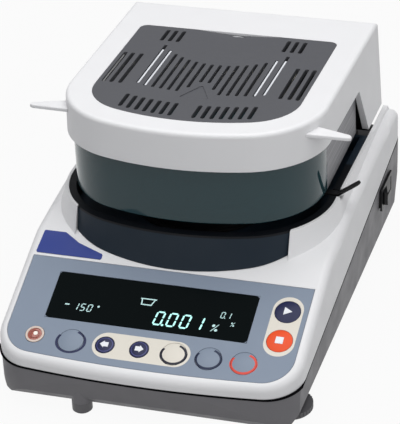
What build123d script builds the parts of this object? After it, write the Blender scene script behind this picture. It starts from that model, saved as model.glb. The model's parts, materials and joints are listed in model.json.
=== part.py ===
from build123d import *
import math
import os

# Moisture analyzer: a bench balance with a hinged heating cover over its sample pan.
# Millimetres. X to the right, Y to the rear, Z up, the feet stand on Z = 0.

# Base case
CASE_HALF_W = 107.5
CASE_FRONT_Y = -160.0
CASE_REAR_Y = 160.0
CASE_FRONT_R = 862.0
CASE_CORNER_R = 27.0
CASE_REAR_CORNER_R = 12.0
CASE_BOTTOM_Z = 8.0
WALL = 2.5
CASE_FRONT_DRAFT = 4.0
CASE_SIDE_DRAFT = 2.2
CASE_REAR_DRAFT = 14.0
CASE_BOTTOM_CHAMFER = 4.5
SEAM_FRONT_Z = 32.0
SEAM_SLOPE = 0.1176
SEAM_GAP = 0.6
RIDGE_R = 6.0

# Sloping front panel and the shoulders behind it
PANEL_FRONT_Z = 39.5
PANEL_ANGLE = 22.05
PANEL_LENGTH = 112.0
SHOULDER_MID_Y = 40.0
SHOULDER_MID_Z = 90.5
SHOULDER_REAR_Z = 93.5
SHOULDER_REAR_R = 18.0
PANEL_BEND_R = 40.0

# Heating cover, in plan a D with a wide front arc
COVER_HALF_W = 93.5
COVER_FRONT_Y = -67.2
COVER_FRONT_R = 182.0
COVER_CORNER_R = 60.0
COVER_REAR_Y = 142.0
COVER_REAR_SLANT = 5.0
COVER_DRAFT = 1.5
COVER_TOP_Z = 175.5
COVER_TOP_SLOPE = 0.0396
COVER_SKIRT = 28.0
COVER_WALL = 3.0
COVER_EDGE_R = 3.0
LEG_BOTTOM_Z = 98.0
LEG_TOP_Y = 80.4
LEG_FRONT_Y = 105.0

# Ventilation grille in the top of the cover
GRILLE_HALF_W = 74.6
GRILLE_FRONT_Y = -48.5
GRILLE_FRONT_R = 156.0
GRILLE_CORNER_R = 38.0
GRILLE_REAR_Y = 100.5
GRILLE_T = 4.0
GRILLE_REBATE = 1.6
GRILLE_LEDGE = 3.0
GRILLE_CLEARANCE = 0.2
SLOT_W = 3.0
SLOT_PITCH = 6.1
FINE_SLOT_W = 2.4
DISH_R = 36.0
DISH_DEPTH = 1.9
DISH_Y = 84.0
DISH_BACKING = 2.0
BARE_TRIANGLE_HALF_W = 11.0
BARE_TRIANGLE_DEPTH = 0.5

# Smoked glass and the plates that close the chamber
HOUSING_INSET = 3.3
GLASS_T = 3.0
HOUSING_BOTTOM_Z = 104.5
GLASS_REAR_Y = 1.0
HOUSING_OVERLAP = 9.0
SHIELD_T = 1.2
SHIELD_REAR_Y = 86.0
JOINT_GAP = 0.4

# Chamber collar of the case and the black tray in it
COLLAR_OFFSET = 3.0
COLLAR_WALL = 2.0
COLLAR_TOP_Z = 99.0
COLLAR_TOP_SLOPE = 0.0255
COLLAR_DRAFT = 18.0
COLLAR_NOTCH = 3.5
DECK_Z = 74.0
REAR_DECK_Z = 72.0
TRAY_CLEARANCE = 0.4
TRAY_WALL = 2.5
TRAY_RIM_W = 5.0
TRAY_FLOOR_Z = 84.0
TRAY_REAR_Y = 98.0
APRON_HALF_W = 77.0
APRON_OFFSET = 3.8
APRON_DRAFT = 13.0
APRON_REAR = 26.0

# Weighing parts; the pan's axis is the vertical line at PAN_Y
PAN_Y = 8.0
PAN_R = 42.5
PAN_DEPTH = 8.0
PAN_RIM_Z = 100.0
PAN_T = 0.8
PAN_RIM_W = 3.0
PAN_WALL_SLOPE = 2.0
SUPPORT_R = 36.0
SUPPORT_T = 1.6
SUPPORT_GAP = 0.3
SPINDLE_R = 5.0
SPINDLE_HOLE_R = 8.0
RING_IN_R = 47.0
RING_WALL = 2.0
RING_H = 10.0
HANDLE_T = 1.5
HANDLE_RING_W = 4.0
HANDLE_ARM_W = 5.5
HANDLE_RISE = 36.0
HANDLE_BEND_X = 97.0
HANDLE_GRIP = 19.0

# Weigh cell, its bridge and the force coil's magnet, below the pan
CELL_TOP_Z = 62.0
CELL_L = 96.0
CELL_W = 34.0
CELL_H = 36.0
CELL_FRONT = 14.0
CELL_GUIDE_L = 60.0
CELL_GUIDE_INSET = 6.0
BRIDGE_W = 58.0
BRIDGE_L = 28.0
BRIDGE_T = 4.0
MAGNET_R = 15.0
MAGNET_H = 30.0

# Halogen heater under the cover
LAMP_Y = PAN_Y
LAMP_Z = 146.0
LAMP_R = 5.0
LAMP_HALF_L = 58.0
CAP_L = 12.0
CAP_R = 6.5
CAP_OVERLAP = 2.0
HOLDER_T = 6.0
HOLDER_W = 16.0
REFLECTOR_R = 20.0
REFLECTOR_T = 0.8
REFLECTOR_HALF_L = 76.0
REFLECTOR_WINGS = 92.0
TROUGH_Z = 140.0
WING_Z = 144.0

# Hinge of the cover
HINGE_Y = 130.0
HINGE_Z = 92.0
SHAFT_R = 4.0
SHAFT_CLEARANCE = 0.05
BARREL_R = 8.0
BARREL_LENGTH = 12.0
BRACKET_T = 12.0
BRACKET_W = 16.0
BRACKET_GAP = 1.0

# Display, keys and other panel fittings, placed by the distance up the panel
OVERLAY_HALF_W = CASE_HALF_W - 6.4
OVERLAY_FRONT = 6.0
OVERLAY_REAR = 88.1
OVERLAY_T = 0.8
OVERLAY_FRONT_R = 1170.0
OVERLAY_CORNER_R = 21.0
WINDOW_W = 143.0
WINDOW_H = 38.5
WINDOW_X = -6.0
WINDOW_V = 57.6
WINDOW_T = 2.0
WINDOW_LEDGE = 2.0
KEY_ROW_V = 22.0
KEY_PITCH = 24.3
KEY_ROW_X = -53.7
SMALL_KEY_R = 6.6
LARGE_KEY_R = 8.8
KEY_STACK_X = OVERLAY_HALF_W - 13.9
KEY_STACK_V = 43.4
KEY_STACK_PITCH = 23.8
KEY_HEIGHT = 1.0
KEY_STEM_R = 3.0
KEY_CLEARANCE = 0.3
KEY_TRAVEL = 0.6
KEY_BOARD_DROP = 3.2
KEY_BOARD_W = 20.0
VIAL_X = -(OVERLAY_HALF_W - 21.1)
VIAL_V = 23.0
VIAL_R = 5.0
BEZEL_R = 6.5
BADGE_LEFT = -(OVERLAY_HALF_W - 0.7)
BADGE_T = 0.6
BADGE_REAR = 110.0
BADGE_FRONT = 90.6
BOARD_T = 1.6
FIT_GAP = 0.3

# Power switch in the right-hand wall
SWITCH_Y = 106.0
SWITCH_Z = 47.0
SWITCH_L = 30.0
SWITCH_H = 14.0
SWITCH_DEPTH = 16.0
SWITCH_FLANGE = 2.0
ROCKER_TILT = 8.0
ROCKER_PROUD = 1.5

# Feet
LEVEL_FOOT_X = CASE_HALF_W - 15.5
LEVEL_FOOT_Y = -116.0
LEVEL_DISC_R = 16.0
LEVEL_DISC_H = 5.0
LEVEL_KNURLS = 36
LEVEL_STUD_R = 4.0
LEVEL_NUT_R = 8.0
LEVEL_NUT_H = 8.0
REAR_FOOT_R = 10.0
REAR_FOOT_X = CASE_HALF_W - 21.5
REAR_FOOT_Y = 122.0
FRONT_FOOT_R = 7.0
FRONT_FOOT_X = -45.0
FRONT_FOOT_Y = -150.0

# Rear sockets
INLET_X = 62.0
SERIAL_X = -40.0
SOCKET_Z = 36.0
INLET_W = 27.0
INLET_H = 20.0
SERIAL_W = 39.0
SERIAL_H = 8.4
SOCKET_DEPTH = 18.0
FUSE_X = 28.0
FUSE_R = 6.3
EARTH_X = 92.0

# Inside the case
BOSS_X = CASE_HALF_W - 10.5
SCREW_R = 1.5
SCREW_HEAD_R = 2.8
BOARD_GAP = 2.0
BOARD_W = CASE_HALF_W - 14.5 - BRIDGE_W / 2 - BOARD_GAP
BOARD_L = 120.0
BOARD_Y = 20.0
BOARD_X = BRIDGE_W / 2 + BOARD_GAP + BOARD_W / 2
BOARD_POST = 18.0

# Lifting tabs of the cover
TAB_TIP_X = COVER_HALF_W + 21.5
TAB_Z = 164.4
TAB_T = 3.0
TAB_DROOP = 4.0

KEY_SEAT = OVERLAY_T + KEY_TRAVEL + FIT_GAP
PANEL_SLOPE = math.tan(math.radians(PANEL_ANGLE))
PANEL_COS = math.cos(math.radians(PANEL_ANGLE))
BEND_Y = CASE_FRONT_Y + PANEL_LENGTH * PANEL_COS
BEND_Z = PANEL_FRONT_Z + PANEL_LENGTH * PANEL_COS * PANEL_SLOPE
BIG = 600.0


def dee_points(inset=0.0, half_w=COVER_HALF_W, front_y=COVER_FRONT_Y, front_r=COVER_FRONT_R,
               corner_r=COVER_CORNER_R):
    """Key points of a D outline: wide front arc, two corner arcs, straight sides."""
    half_w, front_y = half_w - inset, front_y + inset
    front_r, corner_r = front_r - inset, corner_r - inset
    arc_y = front_y + front_r
    corner_x = half_w - corner_r
    corner_y = arc_y - math.sqrt((front_r - corner_r) ** 2 - corner_x**2)
    reach = front_r / (front_r - corner_r)
    tangent = (corner_x * reach, arc_y + (corner_y - arc_y) * reach)
    half_turn = math.atan2(tangent[1] - corner_y, tangent[0] - corner_x) / 2
    middle = (corner_x + corner_r * math.cos(half_turn), corner_y + corner_r * math.sin(half_turn))
    return half_w, front_y, corner_y, middle, tangent


def dee_face(rear_y, inset=0.0, **outline):
    """The D outline as a face, closed by a straight rear edge at rear_y."""
    half_w, front_y, corner_y, middle, tangent = dee_points(inset, **outline)
    left_middle, left_tangent = (-middle[0], middle[1]), (-tangent[0], tangent[1])
    edges = [
        Line((-half_w, rear_y), (-half_w, corner_y)),
        ThreePointArc((-half_w, corner_y), left_middle, left_tangent),
        ThreePointArc(left_tangent, (0, front_y), tangent),
        ThreePointArc(tangent, middle, (half_w, corner_y)),
        Line((half_w, corner_y), (half_w, rear_y)),
        Line((half_w, rear_y), (-half_w, rear_y)),
    ]
    return make_face(edges)


def prism(face, low, high):
    """A horizontal outline raised from the height low to the height high."""
    return extrude(Pos(0, 0, low) * face, high - low)


def drafted(rear_y, inset, low, high, level, draft):
    """The D outline raised from low to high, drawing in by draft; it has its inset at level."""
    grow = (level - low) * math.tan(math.radians(draft))
    face = dee_face(rear_y + grow, inset - grow)
    return extrude(Pos(0, 0, low) * face, high - low, taper=draft)


def side_prism(wire, half_w=BIG / 2):
    """An outline in the YZ plane carried across the full width."""
    return extrude(Plane.YZ * make_face(wire), half_w, both=True)


def case_outline(inset=0.0):
    """Plan of the base case, with its rear corners rounded."""
    face = dee_face(CASE_REAR_Y - inset, inset, half_w=CASE_HALF_W, front_y=CASE_FRONT_Y,
                    front_r=CASE_FRONT_R, corner_r=CASE_CORNER_R)
    return fillet(face.vertices().group_by(Axis.Y)[-1], CASE_REAR_CORNER_R - inset)


def seam_z(y):
    """Height of the parting line between the two case halves."""
    return SEAM_FRONT_Z + SEAM_SLOPE * (y - CASE_FRONT_Y)


def panel_z(y):
    """Height of the sloping panel's face."""
    return PANEL_FRONT_Z + PANEL_SLOPE * (y - CASE_FRONT_Y)


def on_panel(x, up, proud=0.0):
    """A plane on the panel's face: x across, up the slope from its front edge."""
    angle = math.radians(PANEL_ANGLE)
    normal = (0, -math.sin(angle), math.cos(angle))
    y = CASE_FRONT_Y + up * math.cos(angle) + proud * normal[1]
    z = PANEL_FRONT_Z + up * math.sin(angle) + proud * normal[2]
    return Plane(origin=(x, y, z), x_dir=(1, 0, 0), z_dir=normal)


def top_profile(lower=0.0):
    """Side view of the upper case down to its seam; lower sinks it by a wall."""
    drop = lower / PANEL_COS
    front, rear = CASE_FRONT_Y - 1, CASE_REAR_Y + 1
    bend = (BEND_Y, BEND_Z - drop)
    line = Polyline((rear, SHOULDER_REAR_Z - lower), (rear, seam_z(rear)), (front, seam_z(front)),
                    (front, panel_z(front) - drop), bend)
    arc = ThreePointArc(bend, (SHOULDER_MID_Y, SHOULDER_MID_Z - lower), (rear, SHOULDER_REAR_Z - lower))
    face = make_face([*line.edges(), arc])
    for place, radius in ((bend, PANEL_BEND_R), ((rear, SHOULDER_REAR_Z - lower), SHOULDER_REAR_R - lower)):
        corner = face.vertices().sort_by_distance((place[0], place[1], 0))[0]
        face = fillet(corner, radius)
    return extrude(Plane.YZ * face, BIG / 2, both=True)


def collar_z(y):
    """Height of the collar's rim, which falls slightly to the rear."""
    return COLLAR_TOP_Z - COLLAR_TOP_SLOPE * (y - PAN_Y)


def above(height, gap=0.0):
    """Everything higher than a plane, given by its height at a depth y, by a gap."""
    front, rear = -BIG / 2, BIG / 2
    return side_prism(Polyline((front, height(front) + gap), (rear, height(rear) + gap),
                               (rear, BIG), (front, BIG), close=True))


def upper_case():
    """White top shell: sloping panel, shoulders and the flared collar round the chamber."""
    body = prism(case_outline(), 0, SHOULDER_REAR_Z + 5) & top_profile()
    top_edges = [e for e in body.edges() if e.center().Z > seam_z(e.center().Y) + 3
                 and abs(e.center().X) > 1 and e.length > 3 and abs(e.tangent_at(0.5).Z) < 0.9]
    front = [e for e in body.edges().filter_by(lambda e: e.center().Y < CASE_FRONT_Y + 2)
             if e.center().Z > SEAM_FRONT_Z + 3]
    body = fillet(ShapeList(set(top_edges + front)), RIDGE_R)
    outer = COLLAR_OFFSET + COLLAR_WALL
    collar = drafted(CASE_REAR_Y - CASE_REAR_CORNER_R, -outer, SEAM_FRONT_Z, COLLAR_TOP_Z, COLLAR_TOP_Z,
                     COLLAR_DRAFT)
    collar &= prism(case_outline(), 0, BIG)
    body += (collar - above(collar_z)) & above(seam_z)
    hollow = prism(case_outline(WALL), 0, SHOULDER_REAR_Z) & top_profile(WALL)
    hollow -= prism(dee_face(CASE_REAR_Y + 5, -outer), REAR_DECK_Z - WALL, BIG)
    body -= hollow
    body -= prism(dee_face(CASE_REAR_Y + 5, -COLLAR_OFFSET), DECK_Z, BIG)
    body -= Pos(0, (TRAY_REAR_Y + CASE_REAR_Y) / 2 + 5, REAR_DECK_Z + 50) * Box(
        2 * (COVER_HALF_W + COLLAR_OFFSET), CASE_REAR_Y - TRAY_REAR_Y + 10, 100)
    apron = Pos(0, COVER_FRONT_Y + APRON_REAR, DECK_Z - 20) * Box(
        2 * APRON_HALF_W, 80, 80, align=(Align.CENTER, Align.MAX, Align.MIN))
    body -= apron & above(panel_z)
    notch = Box(30, HANDLE_ARM_W + 6, 20, align=(Align.MIN, Align.CENTER, Align.MIN))
    body -= Pos(COVER_HALF_W - 2, PAN_Y, COLLAR_TOP_Z - COLLAR_NOTCH) * notch
    body -= panel_cuts()
    spindle = Pos(0, PAN_Y, DECK_Z - 20) * Cylinder(SPINDLE_HOLE_R, 40)
    return body - spindle


def panel_cuts():
    """Openings that the upper case has under the overlay."""
    window = on_panel(WINDOW_X, WINDOW_V) * Box(WINDOW_W - 2 * WINDOW_LEDGE, WINDOW_H - 2 * WINDOW_LEDGE, 30)
    cuts = [window]
    for _, x, up, _ in keys():
        cuts.append(on_panel(x, up) * Cylinder(KEY_STEM_R + KEY_CLEARANCE, 30))
    cuts.append(on_panel(VIAL_X, VIAL_V) * Cylinder(BEZEL_R + FIT_GAP, 20))
    cuts.append(extrude(on_panel(0, 0, -OVERLAY_T) * overlay_sketch(FIT_GAP), 10))
    cuts.append(on_panel(WINDOW_X, WINDOW_V, -WINDOW_T) * Box(
        WINDOW_W + 2 * FIT_GAP, WINDOW_H + 2 * FIT_GAP, 20, align=(Align.CENTER, Align.CENTER, Align.MIN)))
    for _, x, up, radius in keys():
        cuts.append(on_panel(x, up, -KEY_SEAT) * Cylinder(
            radius + KEY_CLEARANCE, 20, align=(Align.CENTER, Align.CENTER, Align.MIN)))
    return cuts


def keys():
    """Name, place on the panel and cap radius of every key."""
    row = ["program_key", "left_arrow_key", "right_arrow_key", "select_key", "enter_key", "reset_key"]
    small = {"left_arrow_key", "right_arrow_key"}
    found = []
    for index, name in enumerate(row):
        radius = SMALL_KEY_R if name in small else LARGE_KEY_R
        found.append((name, KEY_ROW_X + KEY_PITCH * index, KEY_ROW_V, radius))
    found.append(("stop_key", KEY_STACK_X, KEY_STACK_V, LARGE_KEY_R))
    found.append(("start_key", KEY_STACK_X, KEY_STACK_V + KEY_STACK_PITCH, LARGE_KEY_R))
    return found


def overlay_sketch(grow=0.0):
    """Outline of the overlay in panel coordinates."""
    return dee_face(OVERLAY_REAR + grow, -grow, half_w=OVERLAY_HALF_W, front_y=OVERLAY_FRONT,
                    front_r=OVERLAY_FRONT_R, corner_r=OVERLAY_CORNER_R)


def panel_overlay():
    """Blue-grey film plate let into the panel, with holes for window, keys and level."""
    plate = extrude(on_panel(0, 0, -OVERLAY_T) * overlay_sketch(), OVERLAY_T)
    plate -= on_panel(WINDOW_X, WINDOW_V) * Box(WINDOW_W + 2 * FIT_GAP, WINDOW_H + 2 * FIT_GAP, 10)
    for _, x, up, radius in keys():
        plate -= on_panel(x, up) * Cylinder(radius + KEY_CLEARANCE, 10)
    return plate - on_panel(VIAL_X, VIAL_V) * Cylinder(BEZEL_R + FIT_GAP, 10)


def display_window():
    """Dark window over the display, flush with the overlay."""
    pane = Box(WINDOW_W, WINDOW_H, WINDOW_T, align=(Align.CENTER, Align.CENTER, Align.MAX))
    pane = fillet(pane.edges().filter_by(Axis.Z), 1.0)
    return on_panel(WINDOW_X, WINDOW_V) * pane


def display_module():
    """Fluorescent display tube on its board, behind the window."""
    board = Box(WINDOW_W - 2 * WINDOW_LEDGE - 8, WINDOW_H - 2 * WINDOW_LEDGE - 2, BOARD_T)
    tube = Box(WINDOW_W - 2 * WINDOW_LEDGE - 20, WINDOW_H - 2 * WINDOW_LEDGE - 8, 6)
    tube = fillet(tube.edges().filter_by(Axis.Z), 2.0)
    tip = Rotation(0, 90, 0) * Cylinder(1.5, 5)
    pins = [Pos(x, 0, 0) * Box(0.6, WINDOW_H - 2 * WINDOW_LEDGE - 5, 1.0) for x in range(-50, 51, 10)]
    tube_z = -WINDOW_T - FIT_GAP - 3
    module = Pos(0, 0, tube_z) * tube + Pos(WINDOW_W / 2 - WINDOW_LEDGE - 9, 0, tube_z) * tip
    module += Pos(0, 0, tube_z - 3 - BOARD_T / 2) * board
    for pin in pins:
        module += Pos(0, 0, tube_z - 3) * pin
    return on_panel(WINDOW_X, WINDOW_V) * module


def key_board():
    """Board under the keys, hung from the case by four posts."""
    depth = WALL + KEY_BOARD_DROP
    row_w = KEY_PITCH * 5 + KEY_BOARD_W + 4
    row = Box(row_w, KEY_BOARD_W, BOARD_T)
    stack = Box(KEY_BOARD_W, KEY_STACK_PITCH + 22, BOARD_T)
    row_x = KEY_ROW_X + KEY_PITCH * 2.5
    stack_up = KEY_STACK_V + KEY_STACK_PITCH / 2
    link_left, link_right = row_x + row_w / 2 - 12.6, KEY_STACK_X + KEY_BOARD_W / 2
    link = Box(link_right - link_left, 12, BOARD_T)
    board = on_panel(row_x, KEY_ROW_V, -depth - BOARD_T / 2) * row
    board += on_panel(KEY_STACK_X, stack_up, -depth - BOARD_T / 2) * stack
    board += on_panel((link_left + link_right) / 2, KEY_ROW_V + 6, -depth - BOARD_T / 2) * link
    for x, up in [(row_x - 70, KEY_ROW_V + 6), (row_x - 12, KEY_ROW_V + 7), (row_x + 36, KEY_ROW_V + 7),
                  (KEY_STACK_X, stack_up)]:
        post = Cylinder(2.0, depth - WALL, align=(Align.CENTER, Align.CENTER, Align.MIN))
        board += on_panel(x, up, -depth) * post
    return board


def key(radius):
    """A low domed key cap with its stem, in its own frame."""
    arc_r = (radius**2 + KEY_HEIGHT**2) / (2 * KEY_HEIGHT)
    cap = Pos(0, 0, -OVERLAY_T) * Cylinder(
        radius, OVERLAY_T + 3, align=(Align.CENTER, Align.CENTER, Align.MIN))
    cap &= Pos(0, 0, KEY_HEIGHT - arc_r) * Sphere(arc_r)
    stem_l = WALL + KEY_BOARD_DROP - KEY_TRAVEL - OVERLAY_T - FIT_GAP
    stem = Pos(0, 0, -OVERLAY_T - stem_l) * Cylinder(
        KEY_STEM_R, stem_l, align=(Align.CENTER, Align.CENTER, Align.MIN))
    return cap + stem


def level_bezel():
    """Ring that holds the spirit level in the panel."""
    ring = Cylinder(BEZEL_R, 8, align=(Align.CENTER, Align.CENTER, Align.MAX))
    bore = Cylinder(VIAL_R, 7, align=(Align.CENTER, Align.CENTER, Align.MAX))
    return on_panel(VIAL_X, VIAL_V, 0.4) * (ring - bore)


def level_vial():
    """Round spirit level: a clear capsule with a domed top."""
    capsule = Cylinder(VIAL_R, 7, align=(Align.CENTER, Align.CENTER, Align.MAX))
    dome_r = 24.0
    capsule &= Pos(0, 0, -dome_r) * Sphere(dome_r) + Pos(0, 0, -5) * Box(20, 20, 8.2)
    return on_panel(VIAL_X, VIAL_V, 0.4) * capsule


def badge_plate():
    """Plain plate on the case behind the overlay's left-hand corner."""
    x, y = BADGE_LEFT, BADGE_FRONT
    outline = Polyline((x, y), (x + 48.1, y), (x + 48.0, y + 4.4), (x + 28.7, y + 11.6),
                       (x + 16.7, BADGE_REAR), (x + 0.8, BADGE_REAR), close=True)
    face = fillet(make_face(outline).vertices(), 1.2)
    return extrude(on_panel(0, 0) * face, BADGE_T)


def lower_side(inset=0.0):
    """Side view of the lower case below the seam, leaning in towards its bottom."""
    floor = CASE_BOTTOM_Z + inset
    front, rear = CASE_FRONT_Y + inset, CASE_REAR_Y - inset
    front_top, rear_top = seam_z(front) - SEAM_GAP, seam_z(rear) - SEAM_GAP
    low_front = front + CASE_FRONT_DRAFT
    cut = CASE_BOTTOM_CHAMFER
    return side_prism(Polyline((low_front + cut, floor), (low_front, floor + 1.3 * cut), (front, front_top),
                               (rear, rear_top), (rear, rear_top - 8),
                               (rear - CASE_REAR_DRAFT + 1, floor + cut),
                               (rear - CASE_REAR_DRAFT - cut, floor), close=True))


def lower_front(inset=0.0):
    """Front view of the lower case, its sides leaning in towards the bottom."""
    half_w, top = CASE_HALF_W - inset, seam_z(CASE_REAR_Y)
    bottom_half = half_w - CASE_SIDE_DRAFT
    floor, cut = CASE_BOTTOM_Z + inset, CASE_BOTTOM_CHAMFER
    wire = Polyline((cut - bottom_half, floor), (bottom_half - cut, floor), (bottom_half, floor + 1.3 * cut),
                    (half_w, top), (-half_w, top), (-bottom_half, floor + 1.3 * cut), close=True)
    return extrude(Plane.XZ * make_face(wire), BIG / 2, both=True)


def lower_case():
    """Grey tub: floor, leaning walls, foot wells, bosses and rear cut-outs."""
    body = prism(case_outline(), 0, SHOULDER_REAR_Z) & lower_side() & lower_front()
    body -= prism(case_outline(WALL), 0, SHOULDER_REAR_Z) & lower_side(WALL) & lower_front(WALL)
    for side in (-1, 1):
        well = Cylinder(LEVEL_NUT_R + 2, LEVEL_NUT_H + 4, align=(Align.CENTER, Align.CENTER, Align.MIN))
        body += Pos(side * LEVEL_FOOT_X, LEVEL_FOOT_Y, CASE_BOTTOM_Z) * well
        body -= Pos(side * LEVEL_FOOT_X, LEVEL_FOOT_Y, 0) * Cylinder(LEVEL_STUD_R + SHAFT_CLEARANCE, 80)
        body += Pos(side * REAR_FOOT_X, REAR_FOOT_Y, CASE_BOTTOM_Z) * Cylinder(
            5, 6, align=(Align.CENTER, Align.CENTER, Align.MIN))
        for y in (-90, 60):
            boss = Cylinder(4, seam_z(y) - CASE_BOTTOM_Z - 1, align=(Align.CENTER, Align.CENTER, Align.MIN))
            body += Pos(side * BOSS_X, y, CASE_BOTTOM_Z) * boss
            body -= Pos(side * BOSS_X, y, 0) * Cylinder(SCREW_R + FIT_GAP, 300)
            body -= Pos(side * BOSS_X, y, 0) * Cylinder(SCREW_HEAD_R + FIT_GAP, 2 * (CASE_BOTTOM_Z + 3))
    column = Cylinder(FRONT_FOOT_R, seam_z(FRONT_FOOT_Y) - 4 - CASE_BOTTOM_Z,
                      align=(Align.CENTER, Align.CENTER, Align.MIN))
    body += Pos(FRONT_FOOT_X, FRONT_FOOT_Y, CASE_BOTTOM_Z) * column
    body -= Pos(CASE_HALF_W, SWITCH_Y, SWITCH_Z) * Box(20, SWITCH_L + 2 * FIT_GAP, SWITCH_H + 2 * FIT_GAP)
    rear = CASE_REAR_Y
    body -= Pos(INLET_X, rear, SOCKET_Z) * Box(INLET_W + 2 * FIT_GAP, 60, INLET_H + 2 * FIT_GAP)
    body -= Pos(SERIAL_X, rear, SOCKET_Z) * Box(SERIAL_W + 2 * FIT_GAP, 60, SERIAL_H + 2 + 2 * FIT_GAP)
    body -= Pos(FUSE_X, rear, SOCKET_Z) * Rotation(90, 0, 0) * Cylinder(FUSE_R + FIT_GAP, 60)
    return body - Pos(EARTH_X, rear, SOCKET_Z) * Rotation(90, 0, 0) * Cylinder(2.2, 60)


def case_screws():
    """Four long screws that hold the two case halves together from below."""
    screws = []
    for side in (-1, 1):
        for y in (-90, 60):
            head = Cylinder(SCREW_HEAD_R, 2.4, align=(Align.CENTER, Align.CENTER, Align.MIN))
            shank = Cylinder(
                SCREW_R, seam_z(y) - CASE_BOTTOM_Z - 2, align=(Align.CENTER, Align.CENTER, Align.MIN))
            recess = Cylinder(1.2, 1.2, align=(Align.CENTER, Align.CENTER, Align.MIN))
            screw = head + Pos(0, 0, 2.0) * shank - recess
            screws.append(Pos(side * BOSS_X, y, CASE_BOTTOM_Z + 0.5) * screw)
    return Compound(children=screws)


def cover_top_z(y):
    """Height of the cover's top, which falls slightly to the rear."""
    return COVER_TOP_Z - COVER_TOP_SLOPE * (y - COVER_FRONT_Y)


def cover_side():
    """Side view of the cover: sloping top, skirt, notch and rear leg."""
    front, rear = COVER_FRONT_Y - 5, COVER_REAR_Y
    return side_prism(Polyline(
        (front, cover_top_z(front)), (rear, cover_top_z(rear)), (rear + COVER_REAR_SLANT, LEG_BOTTOM_Z),
        (LEG_FRONT_Y, LEG_BOTTOM_Z), (LEG_TOP_Y, cover_top_z(LEG_TOP_Y) - COVER_SKIRT),
        (front, cover_top_z(front) - COVER_SKIRT), close=True))


def grille_face(inset=0.0):
    """Outline of the grille, with its rear corners rounded."""
    face = dee_face(GRILLE_REAR_Y - inset, inset, half_w=GRILLE_HALF_W, front_y=GRILLE_FRONT_Y,
                    front_r=GRILLE_FRONT_R, corner_r=GRILLE_CORNER_R)
    return fillet(face.vertices().group_by(Axis.Y)[-1], 6.0)


def under_top(drop):
    """Everything above a plane parallel to the cover's top, drop below it."""
    return above(cover_top_z, -drop)


def cover_block(rear_y):
    """The cover's drafted outline from below its leg to above its top."""
    return drafted(rear_y, 0, LEG_BOTTOM_Z - 1, COVER_TOP_Z + 5, COVER_TOP_Z, COVER_DRAFT)


def heater_cover():
    """White hinged cover: one moulded shell, open below, with a rebate for the grille."""
    body = cover_block(COVER_REAR_Y + 20) & cover_side()
    top_edges = body.edges().filter_by(lambda e: e.center().Z > cover_top_z(e.center().Y) - 1)
    body = fillet(top_edges, COVER_EDGE_R)
    inner = prism(dee_face(COVER_REAR_Y - COVER_WALL, COVER_WALL), 0, BIG)
    body -= inner - under_top(COVER_WALL)
    body -= prism(grille_face(), 0, BIG) & under_top(GRILLE_REBATE)
    return body - prism(grille_face(GRILLE_LEDGE), 100, BIG)


def slots():
    """Centre x, front y, rear y and width of every slot in the grille."""
    found = []
    for side in (-1, 1):
        found += [(side * x, 75.5, 95.0, SLOT_W) for x in (39.8, 45.8, 51.8)]
        found += [(side * x, -0.5, 50.5, SLOT_W) for x in (58.0, 64.5, 70.2)]
        for index in range(7):
            x = 8.5 + 6.25 * index
            front = dee_y(x) + 5.5
            found.append((side * x, front, front + 20, SLOT_W))
        for index in range(8):
            x = SLOT_PITCH * (index + 0.5)
            rear = 97.5 - math.sqrt(54.0**2 - x**2)
            front = (13.0, 3.0, -4.5, -4.0, -3.0, -2.0, -1.0, 2.5)[index]
            found.append((side * x, front, rear, FINE_SLOT_W))
    return found


def dee_y(x):
    """Front edge of the grille's outline at a given x."""
    centre_x = GRILLE_HALF_W - GRILLE_CORNER_R
    arc_y = GRILLE_FRONT_Y + GRILLE_FRONT_R
    centre_y = arc_y - math.sqrt((GRILLE_FRONT_R - GRILLE_CORNER_R) ** 2 - centre_x**2)
    tangent_x = centre_x * GRILLE_FRONT_R / (GRILLE_FRONT_R - GRILLE_CORNER_R)
    if abs(x) < tangent_x:
        return arc_y - math.sqrt(GRILLE_FRONT_R**2 - x**2)
    return centre_y - math.sqrt(GRILLE_CORNER_R**2 - (abs(x) - centre_x) ** 2)


def vent_grille():
    """Dark slotted insert: slot groups round a shallow dish and a bare triangular field."""
    flange = prism(grille_face(GRILLE_CLEARANCE), 100, BIG) & under_top(GRILLE_REBATE)
    inside = prism(grille_face(GRILLE_LEDGE + GRILLE_CLEARANCE), 100, BIG)
    tongue = inside & under_top(GRILLE_T)
    backing = Pos(0, DISH_Y, 0) * Cylinder(DISH_R + DISH_BACKING, BIG) & inside
    backing &= under_top(GRILLE_T + DISH_BACKING)
    body = (flange + tongue + backing) - under_top(0)
    dish_r = (DISH_R**2 + DISH_DEPTH**2) / (2 * DISH_DEPTH)
    tilt = math.degrees(math.atan(COVER_TOP_SLOPE))
    dish_place = Pos(0, DISH_Y, cover_top_z(DISH_Y)) * Rotation(-tilt, 0, 0)
    body -= dish_place * Pos(0, 0, dish_r - DISH_DEPTH) * Sphere(dish_r)
    field = Polyline((-BARE_TRIANGLE_HALF_W, -13.5), (BARE_TRIANGLE_HALF_W, -13.5), (0, 9), close=True)
    field = fillet(make_face(field).vertices(), 1.5)
    body -= prism(field, 100, BIG) & under_top(BARE_TRIANGLE_DEPTH)
    cuts = []
    for x, front, rear, width in slots():
        slot = Pos(x, (front + rear) / 2) * SlotOverall(rear - front, width, rotation=90)
        cuts.append(prism(slot, 140, 190))
    return body - cuts


def housing_face(rear_y, inset=0.0):
    """Outline of the glass housing just inside the cover's wall."""
    return dee_face(rear_y, HOUSING_INSET + inset)


def glass_housing():
    """Smoked glass bent round the front and both corners of the chamber."""
    body = prism(housing_face(GLASS_REAR_Y), HOUSING_BOTTOM_Z, BIG / 2)
    body -= prism(housing_face(GLASS_REAR_Y + 1, GLASS_T), 0, BIG)
    body -= under_top(COVER_SKIRT - HOUSING_OVERLAP)
    return fillet(body.edges().group_by(Axis.Z)[0].filter_by(lambda e: e.length > 20), 0.8)


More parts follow.
